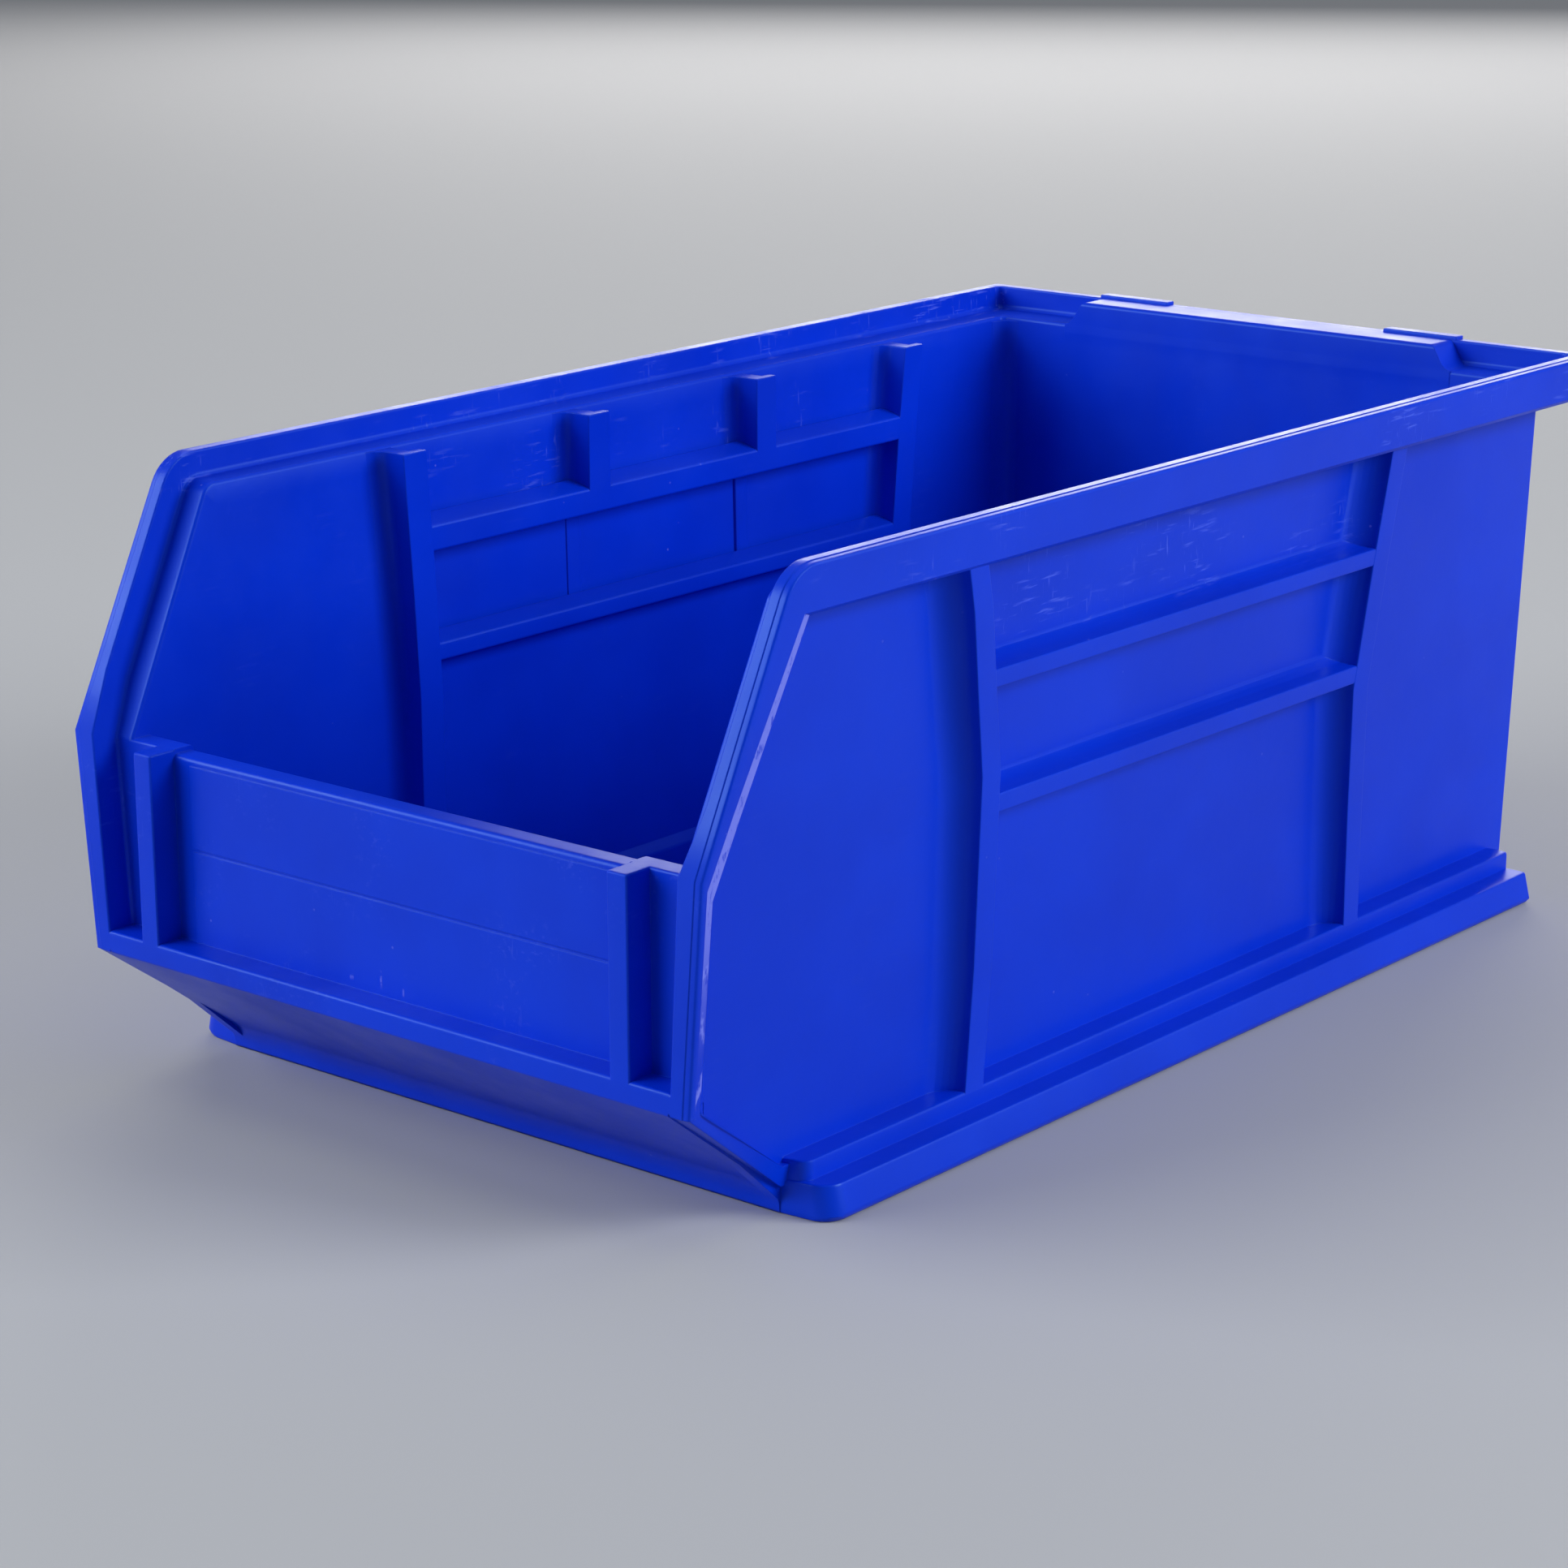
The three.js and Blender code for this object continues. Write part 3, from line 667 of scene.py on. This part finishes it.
def outer_rib(rib_node):
    low, high = node_box(rib_node)
    behind_front = [p for p in node_points(rib_node) if p.y > low.y + 2]
    top = max(p.z for p in behind_front if p.x > along(FRONT_FACE_PLANE, p.z) - 0.05)
    section = [(wall_outer(low.z) - EMBED, low.z)]
    face_gap = 0.06
    section.append((along(FRONT_FACE_PLANE, low.z) - face_gap, low.z))
    fillet = high.z - top
    for s, c in arc(5):
        z = top + fillet * (1 - c)
        depth = (along(FRONT_FACE_PLANE, z) - face_gap - wall_outer(z)) * (1 - s)
        section.append((wall_outer(z) + depth, z))
    section.append((wall_outer(high.z) - EMBED, high.z))
    ends = [
        [(x, along(FRONT_REAR_LINE, z) + 1.2, z) for x, z in section],
        [(x, along(REAR_FRONT_LINE, z) - 1.2, z) for x, z in section],
    ]

    def on_face(edge):
        return is_lengthwise(edge) and all(
            v.co.x / MM > along(FRONT_FACE_PLANE, v.co.z / MM) - 0.3 for v in edge.verts
        )

    return rounded(ring_solid(ends), 0.3, 2, 50, keep=on_face)


FRONT_REAR_LINE, FRONT_FACE_PLANE = pillar_lines("right_outer_front_pillar")[1:]
REAR_FRONT_LINE = pillar_lines("right_outer_rear_pillar")[0]

# ---- Inner lattice
INNER_FACE = node_box("right_inner_front_pillar")[0].x
LEG, HOOK, HOOK_LENGTH = 2.3, 1.3, 4.2
INNER_COVE = 2.2


def hook_plan(z, front):
    wall = wall_inner(z)
    cove_arc = [
        (wall - INNER_COVE * (1 - c), front + INNER_COVE * (1 - s)) for s, c in arc(5)
    ]
    sunk = wall + EMBED
    return (
        [(sunk, front + INNER_COVE + 0.4)]
        + cove_arc
        + [
            (INNER_FACE, front),
            (INNER_FACE, front - HOOK_LENGTH),
            (INNER_FACE + HOOK, front - HOOK_LENGTH),
            (INNER_FACE + HOOK, front - LEG),
            (sunk, front - LEG),
        ]
    )


def hooked(levels, front_line):
    bm = upward(levels, lambda z: hook_plan(z, along(front_line, z)))

    def is_free(edge):
        return all(abs(v.co.x) / MM < wall_inner(v.co.z / MM) - 0.3 for v in edge.verts)

    return rounded(bm, 0.25, 2, 50, keep=is_free)


def inner_pillar(node):
    front = pillar_lines(node, reverse=True)[0]
    levels = [z for z, _ in front]
    levels = [levels[0] - 1] + levels[1:-1] + [levels[-1] - 0.03]
    return hooked(levels, front)


def short_rib(node):
    low, high = node_box(node)
    front = back_of(low.y)
    return hooked([low.z - 1, high.z - 0.03], [(0, front), (RIM_TOP, front)])


def ridge(node, proud):
    """The low ridge that carries a short rib's line on below the upper rib."""
    front = back_of(node_box(node)[0].y)
    bottom, top = node_box("right_inner_lower_rib")[0].z, node_box("right_inner_upper_rib")[1].z
    outline = [
        (front + 0.4, bottom), (front + 0.4, top - 1), (front - LEG, top - 1), (front - LEG, bottom)
    ]
    bm = across(outline, lambda b, z: wall_inner(z) + EMBED, lambda b, z: wall_inner(z) - proud)
    return rounded(bm, proud * 0.8, 2)


def inner_rib(node):
    low, high = node_box(node)
    face = INNER_FACE + 0.05
    cove_up = 0.9
    section = [(wall_inner(low.z) + EMBED, low.z), (face, low.z), (face, high.z)]
    section += [
        (wall_inner(high.z) - cove_up * s, high.z + cove_up * (1 - c)) for c, s in arc(4)
    ]
    section.append((wall_inner(high.z) + EMBED, high.z + cove_up))
    front, _, _ = pillar_lines("right_inner_front_pillar", True)
    rear, _, _ = pillar_lines("right_inner_rear_pillar", True)
    ends = [
        [(x, along(front, z) - LEG / 2, z) for x, z in section],
        [(x, along(rear, z) - LEG / 2, z) for x, z in section],
    ]

    def on_face(edge):
        return is_lengthwise(edge) and all(v.co.x / MM < INNER_FACE + 0.3 for v in edge.verts)

    return rounded(ring_solid(ends), 0.3, 2, 50, keep=on_face)


# ---- Skirting and coves inside the box
def skirting():
    """The side wall is thicker at its foot, up to a sloped shoulder."""
    wall, sunk = wall_inner(SKIRT["top"]), 0.6
    face = wall - SKIRT["proud"]
    section = [
        (wall + sunk, FLOOR_TOP - 1),
        (face, FLOOR_TOP - 1),
        (face, SKIRT["shoulder"]),
        (wall + 0.03, SKIRT["top"]),
        (wall + sunk, SKIRT["top"]),
    ]
    ends = [back_inner(FLOOR_TOP) - 0.4, UNDERCUT_BACK - 8]
    bm = ring_solid([[(x, back, z) for x, z in section] for back in ends])

    def on_shoulder(edge):
        return all(abs(v.co.z / MM - SKIRT["shoulder"]) < 0.1 for v in edge.verts)

    return rounded(bm, 0.3, 2, 20, keep=on_shoulder)


def floor_coves():
    """Fillets where the floor meets the side walls, and the walls meet each other."""
    radius = 2.2
    x, back = wall_inner(FLOOR_TOP), back_inner(FLOOR_TOP)
    foot_x = wall_inner(SKIRT["top"]) - SKIRT["proud"]
    low = (foot_x, back, FLOOR_TOP)
    front = (foot_x, UNDERCUT_BACK - 8, FLOOR_TOP)
    z = RIM_TOP - TOP_LEDGE - 0.6
    head = (wall_inner(z), back_inner(z), z)
    return [
        cove(low, front, (-1, 0, 0), (0, 0, 1), radius),
        cove((x, back, FLOOR_TOP), head, (-1, 0, 0), (0, 1, 0), radius + 0.6),
    ]


def back_cove():
    x, back = wall_inner(FLOOR_TOP), back_inner(FLOOR_TOP)
    return cove((-x, back, FLOOR_TOP), (x, back, FLOOR_TOP), (0, 1, 0), (0, 0, 1), 2.6)


# ---- Rear edge
def hanger_land():
    """The part of the back edge that rises flush with the rim, coved into the ledge."""
    foot = node_box("hanger_land")[1].x
    head = max(p.x for p in node_points("hanger_land") if p.z > RIM_TOP - 0.1)
    ledge, top = RIM_TOP - TOP_LEDGE, RIM_TOP - 0.02
    cove_r, round_r = 0.9, 0.6
    tucked = back_outer(ledge) + 0.6

    def edge(z):
        return line(z, ledge, foot, RIM_TOP, head)

    def face(z):
        return back_inner(z) + 0.02

    rows = [
        (67.0, foot + cove_r, tucked + 0.3, face(67) - 0.12),
        (UNDER_Z + 0.3, foot + cove_r, tucked, face(UNDER_Z)),
        (UNDER_Z + 0.6, foot + cove_r, RIM_THICKNESS / 2, face(UNDER_Z)),
    ]
    for s, c in arc(5):
        z = ledge + cove_r * (1 - c)
        rows.append((z, edge(z) + cove_r * (1 - s), RIM_THICKNESS / 2, face(z)))
    for s, c in arc(4):
        z = top - round_r * (1 - s)
        cut = round_r * (1 - c)
        rows.append((z, edge(z) - cut, RIM_THICKNESS / 2, face(z) - cut))
    return ring_solid([[(-w, n, z), (w, n, z), (w, f, z), (-w, f, z)] for z, w, n, f in rows])


def hanger_tab():
    low, high = node_box("right_hanger_tab")
    start, end = back_of(high.y), back_of(low.y)
    outline = [(start, low.z - 0.8), (end, low.z - 0.8), (end, high.z), (start, high.z)]
    bm = across(outline, lambda b, z: low.x, lambda b, z: high.x)
    return rounded(bm, 0.2)


# ---- Assembly
def to_object(bm, name):
    mesh = bpy.data.meshes.new(name)
    bm.to_mesh(mesh)
    bm.free()
    obj = bpy.data.objects.new(name, mesh)
    bpy.context.collection.objects.link(obj)
    return obj


def mirror_copy(bm):
    """The same solid on the left side of the bin."""
    other = bm.copy()
    for v in other.verts:
        v.co.x = -v.co.x
    bmesh.ops.reverse_faces(other, faces=other.faces)
    return other


def right_features():
    return [
        toe_strip(),
        box_rib(),
        panel_pad(),
        skirting(),
        *floor_coves(),
        lower_rail(),
        rail_step(),
        outer_pillar("right_outer_front_pillar"),
        outer_pillar("right_outer_rear_pillar"),
        outer_rib("right_outer_upper_rib"),
        outer_rib("right_outer_lower_rib"),
        inner_pillar("right_inner_front_pillar"),
        inner_pillar("right_inner_rear_pillar"),
        short_rib("right_inner_short_rib_1"),
        short_rib("right_inner_short_rib_2"),
        ridge("right_inner_short_rib_1", 0.18),
        ridge("right_inner_short_rib_2", 0.45),
        inner_rib("right_inner_upper_rib"),
        inner_rib("right_inner_lower_rib"),
        hanger_tab(),
    ]


def union_all(parts):
    """Joins the objects into one closed mesh and removes them."""
    base, others = parts[0], parts[1:]
    tools = bpy.data.collections.new("union_tools")
    for obj in others:
        tools.objects.link(obj)
    modifier = base.modifiers.new("union", "BOOLEAN")
    modifier.operation = "UNION"
    modifier.operand_type = "COLLECTION"
    modifier.collection = tools
    modifier.solver = "EXACT"
    graph = bpy.context.evaluated_depsgraph_get()
    mesh = bpy.data.meshes.new_from_object(base.evaluated_get(graph))
    for obj in parts:
        bpy.data.objects.remove(obj)
    bpy.data.collections.remove(tools)
    return mesh


def build_bin():
    parts = [to_object(shell(), "skin"), to_object(front_sheet(), "sheet")]
    parts += [to_object(ledge_nose(), "nose"), to_object(hanger_land(), "land")]
    parts.append(to_object(back_cove(), "back_cove"))
    parts += [to_object(bm, "label_plate_%d" % i) for i, bm in enumerate(label_plates())]
    for i, bm in enumerate(right_features()):
        parts.append(to_object(mirror_copy(bm), "feature_l_%d" % i))
        parts.append(to_object(bm, "feature_r_%d" % i))
    mesh = union_all(parts)
    mesh.name = "bin_moulding"
    obj = bpy.data.objects.new("bin_moulding", mesh)
    bpy.context.collection.objects.link(obj)
    bm = bmesh.new()
    bm.from_mesh(mesh)
    bmesh.ops.remove_doubles(bm, verts=bm.verts, dist=0.004 * MM)
    for face in bm.faces:
        face.smooth = True
    for edge in bm.edges:
        edge.smooth = not (edge.is_manifold and edge.calc_face_angle(0) > math.radians(28))
    bm.to_mesh(mesh)
    bm.free()
    weights = obj.modifiers.new("weights", "WEIGHTED_NORMAL")
    weights.keep_sharp = True
    weights.weight = 80
    return obj


bin_moulding = build_bin()
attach(bin_moulding, "root")
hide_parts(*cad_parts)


# ---- Material
def mark_stress(mesh):
    """Marks the chamfer under the slant and down the flange, where the plastic is rubbed pale."""
    values = []
    for face in mesh.polygons:
        centre = face.center / MM
        back, side = back_of(centre.y), abs(centre.x)
        outward = face.normal.x * (1 if centre.x > 0 else -1)
        below_corner = RIM_TOP - 4.6 > centre.z > FOOT_Z - 0.5
        edge = rim_outer(back)
        if centre.z < BEND_Z:
            edge = line(centre.z, FOOT_Z, FOOT_HALF_WIDTH, BEND_Z, rim_outer(BEND_BACK))
        on_chamfer = edge - STRESS_WIDTH < side < edge + 0.1
        value = 0.0
        if below_corner and on_chamfer and back > HOPPER_BACK - 6:
            if 0.5 < outward < 0.985 and face.normal.y > 0.05:
                value = 1.0
        values.append(value)
    attribute = mesh.attributes.new("stress", "FLOAT", "FACE")
    attribute.data.foreach_set("value", values)


class Tree:
    """Small helper for wiring shader nodes."""

    def __init__(self, material):
        material.use_nodes = True
        self.tree = material.node_tree
        self.shader = self.tree.nodes["Principled BSDF"]

    def node(self, kind, **settings):
        made = self.tree.nodes.new("ShaderNode" + kind)
        for key, value in settings.items():
            setattr(made, key, value)
        return made

    def wire(self, source, target):
        self.tree.links.new(source, target)

    def feed(self, socket, value):
        if isinstance(value, bpy.types.NodeSocket):
            self.wire(value, socket)
        else:
            socket.default_value = value

    def math(self, operation, a, b=0.0, clamp=False):
        made = self.node("Math", operation=operation, use_clamp=clamp)
        self.feed(made.inputs[0], a)
        self.feed(made.inputs[1], b)
        return made.outputs[0]

    def remap(self, value, low, high, to_low=0.0, to_high=1.0):
        made = self.node("MapRange", clamp=True, interpolation_type="SMOOTHSTEP")
        for i, item in enumerate((value, low, high, to_low, to_high)):
            self.feed(made.inputs[i], item)
        return made.outputs[0]

    def noise(self, vector, scale, detail=2.0, roughness=0.5, stretch=(1, 1, 1), turn=(0, 0, 0)):
        mapping = self.node("Mapping")
        self.wire(vector, mapping.inputs[0])
        mapping.inputs["Rotation"].default_value = turn
        mapping.inputs["Scale"].default_value = stretch
        made = self.node("TexNoise")
        self.wire(mapping.outputs[0], made.inputs["Vector"])
        made.inputs["Scale"].default_value = scale
        made.inputs["Detail"].default_value = detail
        made.inputs["Roughness"].default_value = roughness
        return made.outputs["Fac"]

    def blend(self, factor, a, b):
        made = self.node("Mix", data_type="RGBA")
        self.feed(made.inputs["Factor"], factor)
        for name, value in (("A", a), ("B", b)):
            socket = [i for i in made.inputs if i.name == name and i.type == "RGBA"][0]
            self.feed(socket, value)
        return [o for o in made.outputs if o.type == "RGBA"][0]


DEEP_BLUE = (0.0, 0.0270, 0.56, 1)
FULL_BLUE = (0.0, 0.0340, 0.64, 1)
RUBBED_BLUE = (0.055, 0.10, 0.72, 1)
PALE_BLUE = (0.19, 0.22, 0.80, 1)


def zone(t, axes, box):
    """A soft-edged box mask on the axes (side, y, z), in millimetres."""
    mask = 1.0
    for axis, (low, high, soft) in zip(axes, box):
        rise = t.remap(axis, low - soft, low + soft)
        fall = t.remap(axis, high - soft, high + soft, 1.0, 0.0)
        mask = t.math("MULTIPLY", t.math("MULTIPLY", rise, fall), mask)
    return mask


def plastic():
    material = bpy.data.materials.new("bin_plastic")
    t = Tree(material)
    place = t.node("TexCoord").outputs["Object"]
    scaled = t.node("VectorMath", operation="SCALE")
    t.wire(place, scaled.inputs[0])
    scaled.inputs["Scale"].default_value = 1 / MM
    mm = scaled.outputs[0]
    split = t.node("SeparateXYZ")
    t.wire(mm, split.inputs[0])
    x, y, z = split.outputs
    side = t.math("ABSOLUTE", x)

    # Moulded colour: broad mottling and faint flow streaks.
    mottle = t.noise(mm, 0.035, 3.0, 0.55)
    streak = t.noise(mm, 0.10, 2.0, 0.5, (1.0, 0.25, 0.6), (0.2, 0.1, 0.3))
    tone = t.remap(t.math("ADD", mottle, t.math("MULTIPLY", streak, 0.5)), 0.5, 1.0)
    colour = t.blend(tone, DEEP_BLUE, FULL_BLUE)

    # Handling scuffs: short fine scratches, thickest on the rim band and the upper lattice bay.
    scratch_a = t.noise(mm, 1.1, 3.0, 0.6, (1.0, 0.16, 1.4), (0.35, 0.0, 0.1))
    scratch_b = t.noise(mm, 1.6, 2.0, 0.6, (1.3, 1.5, 0.18), (0.5, 0.2, 0.0))
    patches = t.remap(t.noise(mm, 0.09, 2.0), 0.48, 0.66)
    lines = t.math("MAXIMUM", t.remap(scratch_a, 0.56, 0.70), t.remap(scratch_b, 0.62, 0.74))
    band = zone(t, (side, z), ((WALL_RUB, 60, 0.5), (UNDER_Z, RIM_TOP + 1, 0.8)))
    bay = zone(t, (side, y, z), ((44, 48, 0.6), (-42, 38, 3), (58, 70, 1.5)))
    front = zone(t, (y,), ((-100, HALF_LENGTH - PANEL_FACE + 0.7, 0.8),))
    where = t.math("ADD", t.math("MULTIPLY", band, 0.95), t.math("MULTIPLY", bay, 0.8))
    where = t.math("ADD", where, t.math("MULTIPLY", front, 0.18))
    where = t.math("ADD", where, 0.06, clamp=True)
    scuff = t.math("MULTIPLY", t.math("MULTIPLY", lines, patches), where)
    colour = t.blend(scuff, colour, RUBBED_BLUE)

    # Tiny nicks and dust specks.
    speck_cells = t.node("TexVoronoi")
    t.wire(mm, speck_cells.inputs["Vector"])
    speck_cells.inputs["Scale"].default_value = 0.22
    speck = t.remap(speck_cells.outputs["Distance"], 0.02, 0.05, 1.0, 0.0)
    speck = t.math("MULTIPLY", speck, t.remap(t.noise(mm, 0.07, 1.0), 0.54, 0.62))
    colour = t.blend(t.math("MULTIPLY", speck, 0.4), colour, PALE_BLUE)

    # The gate mark low on the label panel: a short pale dash and a smaller one beside it.
    marks = 0.0
    for mark_x, mark_z, half_width, half_height in GATE_MARKS:
        box = ((mark_x - half_width, mark_x + half_width, 0.12),
               (mark_z - half_height, mark_z + half_height, 0.3))
        marks = t.math("ADD", zone(t, (x, z), box), marks)
    marks = t.math("MULTIPLY", marks, front)
    marks = t.math("MULTIPLY", marks, t.remap(t.noise(mm, 1.4, 2.0), 0.38, 0.55))
    colour = t.blend(t.math("MULTIPLY", marks, 0.55), colour, PALE_BLUE)

    # Rubbed pale chamfer under the slant.
    stress = t.node("Attribute", attribute_name="stress").outputs["Fac"]
    ragged = t.remap(t.noise(mm, 0.9, 4.0, 0.65, (1, 1, 0.5)), 0.30, 0.46)
    lower = t.remap(z, FOOT_Z + 4, BEND_Z - 2)
    break_up = t.math("MAXIMUM", lower, t.remap(t.noise(mm, 0.45, 3.0), 0.5, 0.62))
    pale = t.math("MULTIPLY", t.math("MULTIPLY", stress, ragged), break_up)
    colour = t.blend(t.math("MULTIPLY", pale, 0.85), colour, PALE_BLUE)
    t.wire(colour, t.shader.inputs["Base Color"])

    # Gloss: satin, a little uneven, duller where scuffed.
    gloss_noise = t.noise(mm, 0.06, 4.0, 0.6)
    rough = t.remap(gloss_noise, 0.3, 0.7, 0.31, 0.42)
    rough = t.math("ADD", rough, t.math("MULTIPLY", scuff, 0.25))
    rough = t.math("ADD", rough, t.math("MULTIPLY", pale, 0.2), clamp=True)
    t.wire(rough, t.shader.inputs["Roughness"])
    t.shader.inputs["Specular IOR Level"].default_value = 0.30
    t.shader.inputs["Specular Tint"].default_value = (0.35, 0.75, 1.0, 1)

    # Relief: softened edges, slight sink and orange peel, fine grain, scratches.
    soft = t.node("Bevel", samples=4)
    soft.inputs["Radius"].default_value = 0.15 * MM
    sink = t.noise(mm, 0.05, 2.0)
    peel = t.noise(mm, 0.55, 3.0, 0.5)
    grain = t.noise(mm, 4.5, 2.0, 0.6)
    height = t.math("MULTIPLY", sink, 0.35)
    height = t.math("ADD", height, t.math("MULTIPLY", peel, 0.035))
    height = t.math("ADD", height, t.math("MULTIPLY", grain, 0.006))
    height = t.math("SUBTRACT", height, t.math("MULTIPLY", scuff, 0.03))
    height = t.math("ADD", height, t.math("MULTIPLY", marks, 0.05))
    bump = t.node("Bump")
    bump.inputs["Strength"].default_value = 1.0
    bump.inputs["Distance"].default_value = 0.4 * MM
    t.wire(height, bump.inputs["Height"])
    t.wire(soft.outputs[0], bump.inputs["Normal"])
    t.wire(bump.outputs[0], t.shader.inputs["Normal"])
    return material


mark_stress(bin_moulding.data)
bin_moulding.data.materials.clear()
bin_moulding.data.materials.append(plastic())


# ---- Stage
def stage():
    bpy.ops.mesh.primitive_plane_add(size=6, location=(0, 0, 0))
    floor = bpy.context.object
    floor.name = "floor"
    material = bpy.data.materials.new("floor_pale")
    material.use_nodes = True
    shader = material.node_tree.nodes["Principled BSDF"]
    shader.inputs["Base Color"].default_value = (0.42, 0.42, 0.43, 1)
    shader.inputs["Roughness"].default_value = 0.8
    floor.data.materials.append(material)
    world = bpy.data.worlds.new("studio")
    bpy.context.scene.world = world
    world.use_nodes = True
    world.node_tree.nodes["Background"].inputs[0].default_value = (0.75, 0.8, 0.9, 1)
    world.node_tree.nodes["Background"].inputs[1].default_value = 0.22


def soft_light(name, place_m, target, size, power, colour):
    """An area light: place and target in metres, size as width and height, power in watts."""
    data = bpy.data.lights.new(name, "AREA")
    data.shape = "RECTANGLE"
    data.size, data.size_y = size
    data.energy = power
    data.color = colour
    obj = bpy.data.objects.new(name, data)
    bpy.context.collection.objects.link(obj)
    obj.location = place_m
    aim = Vector(target) - Vector(place_m)
    obj.rotation_euler = aim.to_track_quat("-Z", "Y").to_euler()
    obj.visible_camera = False


def camera():
    """Turned to the bin's right and looking down on it, at the angles and place below."""
    turn, tilt, roll = math.radians(39.701), math.radians(15.820), math.radians(-0.173)
    data = bpy.data.cameras.new("camera")
    obj = bpy.data.objects.new("camera", data)
    bpy.context.collection.objects.link(obj)
    forward = Vector((-math.sin(turn) * math.cos(tilt), math.cos(turn) * math.cos(tilt),
                      -math.sin(tilt)))
    right = forward.cross(Vector((0, 0, 1))).normalized()
    up = right.cross(forward)
    right, up = (
        right * math.cos(roll) + up * math.sin(roll),
        up * math.cos(roll) - right * math.sin(roll),
    )
    obj.location = Vector((0.31514, -0.39926, 0.17011))
    rotation = (right, up, -forward)
    obj.rotation_euler = Matrix(rotation).transposed().to_euler()
    data.sensor_width = 36
    data.lens = 92.37
    data.clip_start = 0.01
    bpy.context.scene.camera = obj


stage()
CENTRE = (0, 0, 0.03)
COOL, NEUTRAL, WARM = (0.92, 0.96, 1.0), (0.95, 0.98, 1.0), (1.0, 0.98, 0.95)
soft_light("key_front_left", (-0.60, -0.80, 0.48), CENTRE, (0.9, 0.6), 11.0, COOL)
soft_light("side_right", (0.95, 0.40, 0.50), CENTRE, (0.6, 0.5), 10.8, COOL)
soft_light("back_window", (-0.75, 1.15, 0.42), CENTRE, (0.9, 0.4), 6.0, WARM)
soft_light("overhead", (0.0, 0.40, 2.20), (0, 0.2, 0.0), (2.6, 2.6), 13, NEUTRAL)
camera()
bpy.context.scene.view_settings.view_transform = "Standard"
